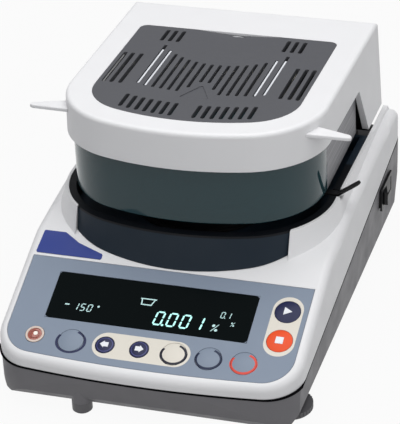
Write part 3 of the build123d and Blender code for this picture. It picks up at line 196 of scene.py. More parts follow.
class Effects:
    """Node groups that several finishes share."""

    def __init__(self) -> None:
        """Builds every group once."""
        self.grain = self._grain()
        self.wear = self._wear()
        self.brush = self._brush()
        self.ring = self._ring()
        self.pill = self._pill()

    def _grain(self) -> bpy.types.NodeTree:
        """Fine moulded grain: a height for a Bump node."""
        tools, given, result = new_group("moulded_grain", {"Scale": "Float"}, {"Height": "Float"})
        place = tools.add("TexCoord").outputs["Object"]
        noise = tools.add("TexNoise", None, Vector=place, Scale=given.outputs["Scale"], Detail=2.0)
        cells = tools.add("TexVoronoi", None, Vector=place, Scale=given.outputs["Scale"])
        height = tools.math("ADD", noise.outputs[0], cells.outputs["Distance"])
        tools.feed(result.inputs["Height"], height)
        return tools.tree

    def _wear(self) -> bpy.types.NodeTree:
        """Slow tone and gloss changes that a handled surface has."""
        tools, given, result = new_group(
            "handled_surface", {"Base": "Color", "Tone": "Float", "Low": "Float", "High": "Float"},
            {"Color": "Color", "Roughness": "Float"})
        place = tools.add("TexCoord").outputs["Object"]
        broad = tools.add("TexNoise", None, Vector=place, Scale=BROAD_SCALE, Detail=3.0)
        fine = tools.add("TexNoise", None, Vector=place, Scale=FINE_SCALE, Detail=4.0)
        shade = tools.math("MULTIPLY", tools.math("SUBTRACT", broad.outputs[0], 0.5), given.outputs["Tone"])
        value = tools.math("ADD", shade, 1.0)
        colour = tools.add("HueSaturation", None, Value=value, Color=given.outputs["Base"])
        rough = tools.remap(fine.outputs[0], *FINE_RANGE, given.outputs["Low"], given.outputs["High"])
        tools.feed(result.inputs["Color"], colour.outputs[0])
        tools.feed(result.inputs["Roughness"], rough)
        return tools.tree

    def _brush(self) -> bpy.types.NodeTree:
        """Straight brushing lines, long along one axis."""
        tools, given, result = new_group(
            "brushed_lines", {"Stretch": "Vector"}, {"Height": "Float", "Mask": "Float"})
        place = tools.add("TexCoord").outputs["Object"]
        long = tools.vector("MULTIPLY", place, given.outputs["Stretch"])
        noise = tools.add("TexNoise", None, Vector=long, Scale=1.0, Detail=3.0)
        tools.feed(result.inputs["Height"], noise.outputs[0])
        tools.feed(result.inputs["Mask"], tools.remap(noise.outputs[0], *LINE_RANGE, 0.0, 1.0))
        return tools.tree

    def _ring(self) -> bpy.types.NodeTree:
        """A printed oval ring on the panel.

        The reach of a place is the root of across squared plus (up over Height) squared. The ring lies where
        the reach is between Inner and Outer, less a sector of half angle Gap round GAP_MIDDLE.
        """
        tools, given, result = new_group(
            "printed_ring", {"Centre": "Vector", "Inner": "Float", "Outer": "Float", "Height": "Float",
                             "Gap": "Float"}, {"Mask": "Float"})
        slope = (0.0, math.cos(PANEL_ANGLE), math.sin(PANEL_ANGLE))
        offset = tools.vector("SUBTRACT", tools.add("TexCoord").outputs["Object"], given.outputs["Centre"])
        across = tools.vector("DOT_PRODUCT", offset, (1.0, 0.0, 0.0), result="Value")
        up = tools.vector("DOT_PRODUCT", offset, slope, result="Value")
        tall = tools.math("DIVIDE", up, given.outputs["Height"])
        reach = tools.math("SQRT", tools.math("ADD", tools.math("MULTIPLY", across, across),
                                              tools.math("MULTIPLY", tall, tall)))
        inside = tools.math("LESS_THAN", reach, given.outputs["Outer"])
        beyond = tools.math("GREATER_THAN", reach, given.outputs["Inner"])
        turn = tools.math("SUBTRACT", tools.math("ARCTAN2", up, across), GAP_MIDDLE)
        closed = tools.math("GREATER_THAN", tools.math("ABSOLUTE", turn), given.outputs["Gap"])
        stroke = tools.math("MULTIPLY", inside, beyond)
        tools.feed(result.inputs["Mask"], tools.math("MULTIPLY", stroke, closed))
        return tools.tree

    def _pill(self) -> bpy.types.NodeTree:
        """A printed pill: every place nearer to a line than the radius."""
        tools, given, result = new_group(
            "printed_pill", {"Start": "Vector", "Run": "Vector", "Radius": "Float"}, {"Mask": "Float"})
        offset = tools.vector("SUBTRACT", tools.add("TexCoord").outputs["Object"], given.outputs["Start"])
        run = given.outputs["Run"]
        along = tools.vector("DOT_PRODUCT", offset, run, result="Value")
        length = tools.vector("DOT_PRODUCT", run, run, result="Value")
        share = tools.math("DIVIDE", along, length, clamp=True)
        scaled = tools.add("VectorMath", {"operation": "SCALE"}, i0=run, Scale=share).outputs["Vector"]
        reach = tools.vector("LENGTH", tools.vector("SUBTRACT", offset, scaled), result="Value")
        tools.feed(result.inputs["Mask"], tools.math("LESS_THAN", reach, given.outputs["Radius"]))
        return tools.tree


EFFECTS = Effects()


@dataclass(frozen=True)
class Print:
    """A printed ring or pill on the panel, in panel millimetres.

    A pill runs from start to end. Where both are the same it is a ring from inner to radius. Its height is a
    share of its width, and gap is half the angle that stays open at its top, none when it is negative.
    """

    colour: Colour
    start: tuple[float, float]
    end: tuple[float, float]
    radius: float
    inner: float = -1.0
    height: float = 1.0
    gap: float = -1.0

    def mask(self, tools: NodeTools) -> bpy.types.NodeSocket:
        """Where the print lies.

        Args:
            tools: Tools of the material's tree.

        Returns:
            A mask of 0 or 1.
        """
        first = Vector(panel_point(*self.start)) * MM
        run = Vector(panel_point(*self.end)) * MM - first
        group = tools.add("Group")
        if run.length > MM:
            group.node_tree = EFFECTS.pill
            values = {"Start": tuple(first), "Run": tuple(run), "Radius": self.radius * MM}
        else:
            group.node_tree = EFFECTS.ring
            values = {"Centre": tuple(first), "Inner": self.inner * MM, "Outer": self.radius * MM,
                      "Height": self.height, "Gap": self.gap}
        for name, value in values.items():
            tools.feed(group.inputs[name], value)
        return group.outputs["Mask"]


@dataclass(frozen=True)
class Zone:
    """A block of space, square to the axes, in which a finish has another colour: here each block is painted
    shade.
    """

    colour: Colour
    low: Point
    high: Point

    def mask(self, tools: NodeTools) -> bpy.types.NodeSocket:
        """Where the block lies: the product of one test for each face.

        Args:
            tools: Tools of the material's tree.

        Returns:
            A mask of 0 or 1.
        """
        parts = tools.add("SeparateXYZ", None, Vector=tools.add("TexCoord").outputs["Object"])
        inside: object = 1.0
        for axis, (low, high) in enumerate(zip(self.low, self.high)):
            above = tools.math("GREATER_THAN", parts.outputs[axis], low * MM)
            below = tools.math("LESS_THAN", parts.outputs[axis], high * MM)
            inside = tools.math("MULTIPLY", inside, tools.math("MULTIPLY", above, below))
        return inside


@dataclass(frozen=True)
class Plastic:
    """Moulded or painted plastic with grain, slight wear and softened edges, and with prints and zones of
    painted shade laid on its colour.
    """

    name: str
    colour: Colour
    low: float = 0.40
    high: float = 0.55
    grain: float = 0.05
    grain_scale: float = 1400.0
    tone: float = 0.05
    edge: float = 0.4
    # Printed marks, and zones of painted shade, laid over the colour in order
    prints_and_shade: tuple[Print | Zone, ...] = ()
    gloss: float = 0.5

    def build(self) -> bpy.types.Material:
        """Returns the finish as a new material."""
        material, tools, shader = start_material(self.name)
        colour: object = self.colour
        # Prints and zones of painted shade are mixed over the base colour
        for each in self.prints_and_shade:
            under = (*colour, 1.0) if isinstance(colour, tuple) else colour
            colour = tools.mix(each.mask(tools), under, (*each.colour, 1.0))
        wear = tools.add("Group", {"node_tree": EFFECTS.wear})
        tools.feed(wear.inputs["Base"], colour)
        tools.feed(wear.inputs["Tone"], self.tone)
        tools.feed(wear.inputs["Low"], self.low)
        tools.feed(wear.inputs["High"], self.high)
        # Under the link the socket keeps the plain colour as its own value
        tools.feed(shader.inputs["Base Color"], self.colour)
        tools.feed(shader.inputs["Base Color"], wear.outputs["Color"])
        tools.feed(shader.inputs["Roughness"], wear.outputs["Roughness"])
        shader.inputs["Specular IOR Level"].default_value = self.gloss
        grain = tools.add("Group", {"node_tree": EFFECTS.grain})
        tools.feed(grain.inputs["Scale"], self.grain_scale)
        soft = tools.add("Bevel", {"samples": BEVEL_SAMPLES}, Radius=self.edge * MM)
        bump = tools.add("Bump", None, Strength=self.grain, Distance=GRAIN_DEPTH,
                         Height=grain.outputs["Height"], Normal=soft.outputs[0])
        tools.feed(shader.inputs["Normal"], bump.outputs[0])
        return material


@dataclass(frozen=True)
class Metal:
    """Metal, plain or brushed along the axis where stretch is small."""

    name: str
    colour: Colour
    rough: float = 0.3
    brushed: float = 0.0
    stretch: Point = (900.0, 12.0, 900.0)
    edge: float = 0.3

    def build(self) -> bpy.types.Material:
        """Returns the finish as a new material."""
        material, tools, shader = start_material(self.name)
        tools.feed(shader.inputs["Base Color"], self.colour)
        shader.inputs["Metallic"].default_value = 1.0
        lines = tools.add("Group", {"node_tree": EFFECTS.brush})
        tools.feed(lines.inputs["Stretch"], self.stretch)
        least, greatest = METAL_SPREAD
        rough = tools.remap(lines.outputs["Mask"], 0.0, 1.0, self.rough * least, self.rough * greatest)
        tools.feed(shader.inputs["Roughness"], rough)
        soft = tools.add("Bevel", {"samples": BEVEL_SAMPLES}, Radius=self.edge * MM)
        bump = tools.add("Bump", None, Strength=self.brushed, Distance=BRUSH_DEPTH,
                         Height=lines.outputs["Height"], Normal=soft.outputs[0])
        tools.feed(shader.inputs["Normal"], bump.outputs[0])
        return material


@dataclass(frozen=True)
class Glass:
    """Clear or smoked glass: tint by transmission, with a plain gloss."""

    name: str
    colour: Colour
    rough: float = 0.03
    transmission: float = 1.0
    gloss: float = 0.5

    def build(self) -> bpy.types.Material:
        """Returns the finish as a new material."""
        material, tools, shader = start_material(self.name)
        tools.feed(shader.inputs["Base Color"], self.colour)
        shader.inputs["Transmission Weight"].default_value = self.transmission
        shader.inputs["Roughness"].default_value = self.rough
        shader.inputs["Specular IOR Level"].default_value = self.gloss
        shader.inputs["IOR"].default_value = GLASS_INDEX
        return material


@dataclass(frozen=True)
class Glow:
    """A lit figure of the display."""

    name: str
    colour: Colour
    strength: float

    def build(self) -> bpy.types.Material:
        """Returns the finish as a new material."""
        material, tools, shader = start_material(self.name)
        tools.feed(shader.inputs["Base Color"], self.colour)
        tools.feed(shader.inputs["Emission Color"], self.colour)
        shader.inputs["Emission Strength"].default_value = self.strength
        return material


def start_material(name: str) -> tuple[bpy.types.Material, NodeTools, bpy.types.Node]:
    """Makes an empty material with its shader.

    Args:
        name: Name of the material.

    Returns:
        The material, tools for its tree, and its Principled BSDF.
    """
    material = bpy.data.materials.new(name)
    material.use_nodes = True
    return material, NodeTools(material.node_tree), material.node_tree.nodes["Principled BSDF"]


DARK: Colour = (0.006, 0.006, 0.007)
CREAM: Colour = (0.74, 0.70, 0.62)
NAVY: Colour = (0.011, 0.014, 0.065)
OVERLAY: Colour = (0.220, 0.268, 0.345)

HORIZONTAL_PILL = Print(CREAM, (-28.0, KEY_ROW), (20.5, KEY_ROW), 10.2)
VERTICAL_PILL = Print(CREAM, (STACK_X, 41.5), (STACK_X, 68.8), 10.6)
# Painted shade: the hidden deck behind the cover's legs, and the parts of the tray above its apron, darkened
# where they lie in shadow
DECK_PAINTED_SHADE = Zone(DARK, (-96.6, 95.0, 60.0), (96.6, 200.0, 96.0))
TRAY_PAINTED_SHADE = Zone((0.003, 0.004, 0.006), (-120.0, -120.0, 97.5), (120.0, 200.0, 130.0))
RING_ROW = 21.6
RING_WIDE = 9.6
RING_STROKE = 1.9
RING_HEIGHT = 0.86
RING_GAP = math.radians(41.0)
RIM_WIDE = 5.6
RIM_STROKE = 0.45
RIM_COLOUR: Colour = (0.085, 0.090, 0.26)


def ring(across: float, colour: Colour, wide: float = RING_WIDE, up: float = RING_ROW) -> Print:
    """A printed oval ring round a key of the lower row, open at its top."""
    return Print(colour, (across, up), (across, up), wide, wide - RING_STROKE, RING_HEIGHT, RING_GAP)


def key_rim(across: float) -> Print:
    """A thin paler ring inside the rim of a dark key of the lower row."""
    return Print(RIM_COLOUR, (across, KEY_ROW), (across, KEY_ROW), RIM_WIDE, RIM_WIDE - RIM_STROKE)


RINGS = (ring(-53.5, (0.010, 0.016, 0.070), 10.9, 20.9), ring(19.2, (0.014, 0.015, 0.030)),
         ring(43.5, (0.012, 0.022, 0.060)), ring(67.8, (0.72, 0.070, 0.045)))
RIMS = (key_rim(LEFT_ARROW_X), key_rim(RIGHT_ARROW_X))


class Library:
    """Every finish of the instrument, built on first use."""

    def __init__(self) -> None:
        """Lists the finishes by the record's slots."""
        key_prints = (HORIZONTAL_PILL, *RINGS)
        finishes = [
            # The white shell's colour carries painted shade on the deck behind the cover's legs
            Plastic("white_shell", (0.80, 0.80, 0.81), low=0.42, grain=0.06, grain_scale=1600.0, tone=0.02,
                    edge=0.5, prints_and_shade=(DECK_PAINTED_SHADE,)),
            Plastic("grey_shell", (0.165, 0.162, 0.172), low=0.42, high=0.58, grain=0.10,
                    grain_scale=1300.0, edge=0.6, gloss=0.35),
            # Dark colour of the painted shadow band at the case's parting line
            Plastic("seam_shadow", DARK, low=0.8, high=0.9, grain=0.0, tone=0.0, edge=0.1, gloss=0.0),
            Plastic("grille_grey", (0.085, 0.087, 0.097), low=0.38, high=0.50, grain=0.10,
                    grain_scale=1300.0, tone=0.04, edge=0.35),
            Plastic("overlay_blue_grey", OVERLAY, low=0.38, high=0.48, grain_scale=2200.0, tone=0.02,
                    edge=0.2, prints_and_shade=(HORIZONTAL_PILL, VERTICAL_PILL, *RINGS), gloss=0.28),
            Plastic("badge_blue", (0.012, 0.036, 0.25), low=0.35, high=0.45, grain=0.02, grain_scale=1800.0,
                    tone=0.03, edge=0.2, gloss=0.3),
            Plastic("dark_window", (0.0020, 0.0040, 0.0045), low=0.10, high=0.14, grain=0.0,
                    grain_scale=1800.0, tone=0.0, edge=0.2, gloss=0.012),
            Plastic("circuit_board", (0.02, 0.16, 0.07), low=0.35, high=0.5),
            Plastic("navy_key", NAVY, low=0.35, high=0.45, grain=0.03, grain_scale=2200.0, tone=0.02,
                    prints_and_shade=RIMS, gloss=0.3),
            Plastic("dark_key", OVERLAY, low=0.36, high=0.46, grain=0.03, grain_scale=2200.0, tone=0.02,
                    prints_and_shade=key_prints, gloss=0.3),
            Plastic("red_key", OVERLAY, low=0.36, high=0.46, grain=0.03, grain_scale=2200.0, tone=0.02,
                    prints_and_shade=key_prints, gloss=0.3),
            Plastic("orange_key", (0.84, 0.080, 0.012), low=0.35, high=0.45, grain=0.03, grain_scale=2200.0,
                    tone=0.02, gloss=0.25),
            Plastic("bezel_grey", (0.66, 0.54, 0.47), low=0.3, high=0.4, grain=0.0),
            # The tray's colour carries painted shade on its parts above the apron
            Plastic("black_tray", (0.0125, 0.0215, 0.0330), low=0.38, high=0.5, grain=0.08,
                    grain_scale=1500.0, edge=0.5, prints_and_shade=(TRAY_PAINTED_SHADE,), gloss=0.2),
            Plastic("black_handle", (0.008, 0.008, 0.009), low=0.3, high=0.42, grain=0.03, gloss=0.3),
            Plastic("black_socket", (0.012, 0.012, 0.013), low=0.35, high=0.5),
            Plastic("switch_black", (0.006, 0.006, 0.007), low=0.3, high=0.42, grain=0.04, gloss=0.3),
            Plastic("foot_grey", (0.11, 0.108, 0.115), grain=0.08),
            Plastic("foot_rubber", (0.015, 0.015, 0.015), low=0.6, high=0.8, grain=0.15),
            Plastic("magnet_steel", (0.012, 0.012, 0.014), low=0.45, high=0.6),
            Plastic("ceramic", (0.72, 0.68, 0.58), low=0.5, high=0.65, grain=0.1),
            Plastic("print_white", (0.82, 0.84, 0.88), low=0.35, high=0.45, grain=0.0),
            Metal("aluminium_pan", (0.80, 0.80, 0.81), rough=0.32, brushed=0.15,
                  stretch=(500.0, 30.0, 500.0)),
            Metal("steel_support", (0.52, 0.53, 0.55), rough=0.28, brushed=0.1),
            Metal("cast_frame", (0.50, 0.51, 0.52), rough=0.45, brushed=0.2, stretch=(500.0, 500.0, 500.0)),
            Metal("nickel_shell", (0.62, 0.62, 0.60), rough=0.22),
            Metal("brass_screw", (0.70, 0.52, 0.22)),
            Metal("steel_screw", (0.45, 0.46, 0.48)),
            Metal("shield_steel", (0.185, 0.185, 0.198), rough=0.42, brushed=0.35,
                  stretch=(900.0, 14.0, 900.0)),
            Metal("reflector_metal", (0.85, 0.84, 0.80), rough=0.12),
            Glass("display_tube", (0.10, 0.22, 0.24), rough=0.08, transmission=0.2),
            Glass("level_fluid", (0.52, 0.16, 0.12), rough=0.05, transmission=0.25),
            Glass("smoked_glass", (0.034, 0.096, 0.112), transmission=0.5, gloss=0.2),
            Glass("lamp_glass", (0.95, 0.95, 0.95), rough=0.02),
            Plastic("bubble", (0.92, 0.86, 0.78), low=0.2, high=0.3, grain=0.0),
            Plastic("warm_mark", (0.30, 0.07, 0.05), low=0.3, high=0.4, grain=0.0),
            Glow("lit_figures", (0.40, 0.80, 0.76), strength=0.62),
            Glow("lit_small_figures", (0.42, 0.62, 0.62), strength=0.36),
        ]
        self.finishes = {finish.name: finish for finish in finishes}
        self.made: dict[str, bpy.types.Material] = {}

    def get(self, name: str) -> bpy.types.Material:
        """The material of a finish by name."""
        if name not in self.made:
            self.made[name] = self.finishes[name].build()
        return self.made[name]


LIBRARY = Library()


def make_piece(name: str, vertices: np.ndarray, faces: list, finish: str, body: Body) -> bpy.types.Object:
    """Makes one piece at the origin that rides on a body.

    Args:
        name: Name of the piece.
        vertices: Points in millimetres, one row each.
        faces: Lists of point numbers.
        finish: Name of its finish.
        body: Body that it rides on.

    Returns:
        The new object.
    """
    mesh = bpy.data.meshes.new(name)
    mesh.from_pydata((np.asarray(vertices, float) * MM).tolist(), [], faces)
    mesh.validate()
    mesh.update()
    mesh.materials.append(LIBRARY.get(finish))
    piece = bpy.data.objects.new(name, mesh)
    bpy.context.scene.collection.objects.link(piece)
    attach(piece, body.value)
    LOG.info("%s: %d points on %s", name, len(vertices), body.value)
    return piece


@dataclass
class Plate:
    """Collects flat outlines of one height and makes a single mesh of them."""

    points: list = field(default_factory=list)
    faces: list = field(default_factory=list)

    def add(self, outline: list[Point], thick: Point) -> None:
        """Adds a closed plate.

        Args:
            outline: Its upper edge in order, counter-clockwise seen from outside.
            thick: Step from the upper to the lower face.
        """
        start, count = len(self.points), len(outline)
        upper = np.asarray(outline, float)
        self.points += [*upper.tolist(), *(upper + np.asarray(thick)).tolist()]
        self.faces.append(list(range(start, start + count)))
        self.faces.append(list(range(start + 2 * count - 1, start + count - 1, -1)))
        for index in range(count):
            after = (index + 1) % count
            self.faces.append([start + after, start + index, start + count + index, start + count + after])

    def piece(self, name: str, finish: str, body: Body, slot: str) -> bpy.types.Object:
        """Makes the mesh of everything added."""
        return make_piece(name, np.array(self.points), self.faces, finish, body)


def panel_step(top: float, root: float = 0.0) -> Point:
    """Step between two heights above the panel, which is the thickness of a plate there."""
    return tuple(b - a for a, b in zip(panel_point(0.0, 0.0, top), panel_point(0.0, 0.0, root)))


def circle(radius: float, steps: int, start: float = 0.0, turn: float = 360.0) -> Outline:
    """Points of an arc round the origin, counter-clockwise, without its end when it is closed."""
    closed = math.isclose(turn, 360.0)
    angles = np.radians(start + np.linspace(0.0, turn, steps, endpoint=not closed))
    return list(zip((radius * np.cos(angles)).tolist(), (radius * np.sin(angles)).tolist()))


def ring_quads(outer: float, inner: float, steps: int) -> list[Outline]:
    """Flat quads of a ring round the origin, each counter-clockwise from its inner edge."""
    far, near = circle(outer, steps), circle(inner, steps)
    after = [*range(1, steps), 0]
    return [[near[a], far[a], far[b], near[b]] for a, b in zip(range(steps), after)]


@dataclass
class Figures:
    """Slanted seven-segment figures and small signs of the display."""

    thick: float = 0.08
    proud: float = 0.10
    slant: float = 0.14
    stroke: float = 0.105
    cell_wide: float = 0.55
    trim: float = 0.02
    pitch: float = 0.80
    dot_radius: float = 0.075
    dot_offset: tuple[float, float] = (-0.16, 0.06)

    SEGMENTS = {
        "0": "abcdef", "1": "bc", "2": "abged", "3": "abgcd", "4": "fgbc", "5": "afgcd",
        "6": "afgedc", "7": "abc", "8": "abcdefg", "9": "abcdfg",
    }

    def bar(self, segment: str) -> Outline:
        """Outline of one segment, a bar with pointed ends, in a cell one unit high."""
        half = self.stroke / 2
        right, top, middle = self.cell_wide - half, 1.0 - half, 0.5
        spots = {
            "a": ((half, top), (right, top)), "g": ((half, middle), (right, middle)),
            "d": ((half, half), (right, half)), "b": ((right, top), (right, middle)),
            "c": ((right, middle), (right, half)), "f": ((half, top), (half, middle)),
            "e": ((half, middle), (half, half)),
        }
        (x0, y0), (x1, y1) = spots[segment]
        length = math.hypot(x1 - x0, y1 - y0)
        along = ((x1 - x0) / length, (y1 - y0) / length)
        side = (-along[1], along[0])
        ends = []
        for spot, sign in (((x0, y0), 1.0), ((x1, y1), -1.0)):
            peak = (spot[0] + sign * along[0] * self.trim, spot[1] + sign * along[1] * self.trim)
            near = (peak[0] + sign * along[0] * half, peak[1] + sign * along[1] * half)
            ends.append((peak, near))
        (first, first_near), (last, last_near) = ends
        return [first, (first_near[0] - side[0] * half, first_near[1] - side[1] * half),
                (last_near[0] - side[0] * half, last_near[1] - side[1] * half), last,
                (last_near[0] + side[0] * half, last_near[1] + side[1] * half),
                (first_near[0] + side[0] * half, first_near[1] + side[1] * half)]

    def place(self, outline: Outline, left: float, low: float, size: float) -> list[Point]:
        """Slants, scales and lays an outline on the window."""
        leaned = [((x + self.slant * y) * size, y * size) for x, y in outline]
        return [panel_point(left + x, low + y, self.proud) for x, y in leaned]

    def step(self) -> Point:
        """Step from a figure's upper to its lower face."""
        return panel_step(self.thick)

    def write(self, plate: Plate, text: str, left: float, low: float, size: float) -> None:
        """Adds a number.

        Args:
            plate: Collects the outlines.
            text: Figures and points.
            left: Place of the first figure across the panel.
            low: Foot of the figures up the panel.
            size: Height of a figure.
        """
        cursor = left
        for letter in text:
            if letter == ".":
                right, up = self.dot_offset
                dot = [(x + right, y + up) for x, y in circle(self.dot_radius, 10)]
                plate.add(self.place(dot, cursor, low, size), self.step())
                continue
            for segment in self.SEGMENTS[letter]:
                plate.add(self.place(self.bar(segment), cursor, low, size), self.step())
            cursor += self.pitch * size

    def percent(self, plate: Plate, left: float, low: float, size: float) -> None:
        """Adds a percent sign."""
        for x, y in ((0.18, 0.78), (0.62, 0.22)):
            loop = [(x + a, y + b) for a, b in circle(0.17, 14)]
            plate.add(self.place(loop, left, low, size), self.step())
        stroke = [(0.05, 0.02), (0.15, 0.02), (0.75, 0.98), (0.65, 0.98)]
        plate.add(self.place(stroke, left, low, size), self.step())


@dataclass(frozen=True)
class Spot:
    """Where a sign or number of the display stands: its left, its foot up the panel and its height."""

    left: float
    low: float
    size: float


LARGE_NUMBER = ("0.001", Spot(-2.4, 43.0, 11.6))
SMALL_NUMBERS = (("150", Spot(-60.5, 46.6, 6.2)), ("0.1", Spot(42.6, 55.4, 5.2)))
PERCENT_SPOTS = (Spot(38.4, 43.8, 6.2), Spot(51.0, 49.6, 3.6))
DEGREE_SPOT = Spot(-44.0, 46.2, 6.2)
LEAD_SPOT = Spot(-67.0, 47.6, 6.2)
PAN_SPOT = Spot(-16.0, 57.6, 6.0)


@dataclass
class PanelPrint:
    """Figures of the display, the marks on the keys and the corners of the window."""

    figures: Figures = field(default_factory=Figures)
    mark_proud: float = 1.06
    mark_root: float = 0.2
    run_up: float = 67.2
    halt_up: float = 43.4
    corner_proud: float = 0.12
    window_middle: tuple[float, float] = (-6.0, 57.6)
    window_half: tuple[float, float] = (71.5, 19.25)
    corner_radius: float = 2.2
    corner_steps: int = 9

    def build(self) -> None:
        """Makes the display's figures, the key marks and the window's corners."""
        large = Plate()
        text, spot = LARGE_NUMBER
        self.figures.write(large, text, spot.left, spot.low, spot.size)
        large.piece("display_large_figures", "lit_figures", Body.BASE, "display_tube")
        small = Plate()
        for text, spot in SMALL_NUMBERS:
            self.figures.write(small, text, spot.left, spot.low, spot.size)
        for spot in PERCENT_SPOTS:
            self.figures.percent(small, spot.left, spot.low, spot.size)
        self.degree(small)
        self.pan_sign(small)
        small.piece("display_small_figures", "lit_small_figures", Body.BASE, "display_tube")
        self.arrows()
        self.stack_marks()
        self.window_corners()

    def sign(self, plate: Plate, outline: Outline, spot: Spot) -> None:
        """Adds one outline of a sign, given in sign heights."""
        figures = self.figures
        plate.add(figures.place(outline, spot.left, spot.low, spot.size), figures.step())

    def degree(self, plate: Plate) -> None:
        """Adds a degree sign and the bar that leads the temperature."""
        self.sign(plate, [(0.1 + a, 0.9 + b) for a, b in circle(0.13, 12)], DEGREE_SPOT)
        self.sign(plate, [(0.0, 0.42), (0.5, 0.42), (0.5, 0.58), (0.0, 0.58)], LEAD_SPOT)

    def pan_sign(self, plate: Plate) -> None:
        """Adds the small sign of a dish."""
        for bar in ([(0, 1.0), (0, 0.86), (1.9, 0.86), (1.9, 1.0)],
                    [(0.12, 0.86), (0.3, 0.2), (0.44, 0.2), (0.26, 0.86)],
                    [(0.3, 0.2), (0.3, 0.06), (1.6, 0.06), (1.6, 0.2)],
                    [(1.46, 0.2), (1.6, 0.2), (1.78, 0.86), (1.64, 0.86)]):
            self.sign(plate, bar, PAN_SPOT)

    def window_corners(self) -> None:
        """Rounds the window's corners: each piece is a square corner less a quarter disc."""
        plate, radius = Plate(), self.corner_radius
        for sign_x, sign_y in ((1, 1), (-1, 1), (-1, -1), (1, -1)):
            corner_x = self.window_middle[0] + sign_x * self.window_half[0]
            corner_y = self.window_middle[1] + sign_y * self.window_half[1]
            arc = [(corner_x - sign_x * (radius - a), corner_y - sign_y * (radius - b))
                   for a, b in circle(radius, self.corner_steps, 0.0, 90.0)]
            outline = [(corner_x, corner_y), *reversed(arc)]
            outline = outline if sign_x * sign_y > 0 else outline[::-1]
            plate.add([panel_point(x, y, self.corner_proud) for x, y in outline], self.figures.step())
        plate.piece("window_corners", "overlay_blue_grey", Body.BASE, "overlay_blue_grey")

    def arrows(self) -> None:
        """Makes the white arrows on the two small keys."""
        arrow = [(-3.3, 0.0), (-0.4, 2.8), (-0.4, 1.8), (2.7, 1.8), (2.7, -1.8), (-0.4, -1.8), (-0.4, -2.8)]
        for name, centre, sign, body in (("left", LEFT_ARROW_X, 1.0, Body.LEFT_ARROW),
                                         ("right", RIGHT_ARROW_X, -1.0, Body.RIGHT_ARROW)):
            outline = [(centre + sign * x, KEY_ROW + sign * y) for x, y in reversed(arrow)]
            self.mark(f"{name}_arrow_mark", outline, body)

    def stack_marks(self) -> None:
        """Makes the run and halt signs on the two upper keys."""
        run = [(-2.4, -3.2), (3.4, 0.0), (-2.4, 3.2)]
        halt = [(-2.7, -2.7), (2.7, -2.7), (2.7, 2.7), (-2.7, 2.7)]
        for name, outline, up, body in (("run", run, self.run_up, Body.START),
                                        ("halt", halt, self.halt_up, Body.STOP)):
            self.mark(f"{name}_mark", [(STACK_X + x, up + y) for x, y in outline], body)

    def mark(self, name: str, outline: Outline, body: Body) -> None:
        """Makes one white mark set into a key's cap."""
        plate = Plate()
        step = panel_step(self.mark_proud, self.mark_root)
        plate.add([panel_point(x, y, self.mark_proud) for x, y in outline], step)
        plate.piece(name, "print_white", body, "navy_key")


@dataclass
class LevelDial:
    """Ring mark and bubble of the spirit level."""

    across: float = -80.0
    up: float = 23.0
    thick: float = 0.06
    mark_outer: float = 3.4
    mark_inner: float = 2.9
    mark_steps: int = 28
    mark_proud: float = 0.52
    bubble_radius: float = 1.6
    bubble_steps: int = 24
    bubble_offset: tuple[float, float] = (0.5, 0.7)
    bubble_proud: float = 0.56

    def build(self) -> None:
        """Makes the level's ring mark and its bubble."""
        step = panel_step(self.thick)
        ring_mark = Plate()
        for quad in ring_quads(self.mark_outer, self.mark_inner, self.mark_steps):
            ring_mark.add([panel_point(self.across + x, self.up + y, self.mark_proud) for x, y in quad], step)
        ring_mark.piece("level_mark", "warm_mark", Body.BASE, "switch_black")
        across, up = self.across + self.bubble_offset[0], self.up + self.bubble_offset[1]
        rim = circle(self.bubble_radius, self.bubble_steps)
        bubble = Plate()
        bubble.add([panel_point(across + x, up + y, self.bubble_proud) for x, y in rim], step)
        bubble.piece("level_bubble", "bubble", Body.BASE, "level_fluid")


@dataclass
class CoverDetails:
    """Bright heat strips that show through the outer slots of the grille."""

    strips: tuple[float, ...] = (-45.75, -39.65, 39.65, 45.75)
    front: float = 1.5
    rear: float = 62.0
    width: float = 1.3
    sunk: float = 0.7
    thick: float = 3.0

    def build(self) -> None:
        """Makes the strips just under the grille's face."""
        plate = Plate()
        for x in self.strips:
            left, right = x - self.width / 2, x + self.width / 2
            outline = [(left, self.front), (right, self.front), (right, self.rear), (left, self.rear)]
            plate.add([(a, b, cover_top(b) - self.sunk) for a, b in outline], (0.0, 0.0, -self.thick))
        plate.piece("heat_strips", "print_white", Body.COVER, "reflector_metal")


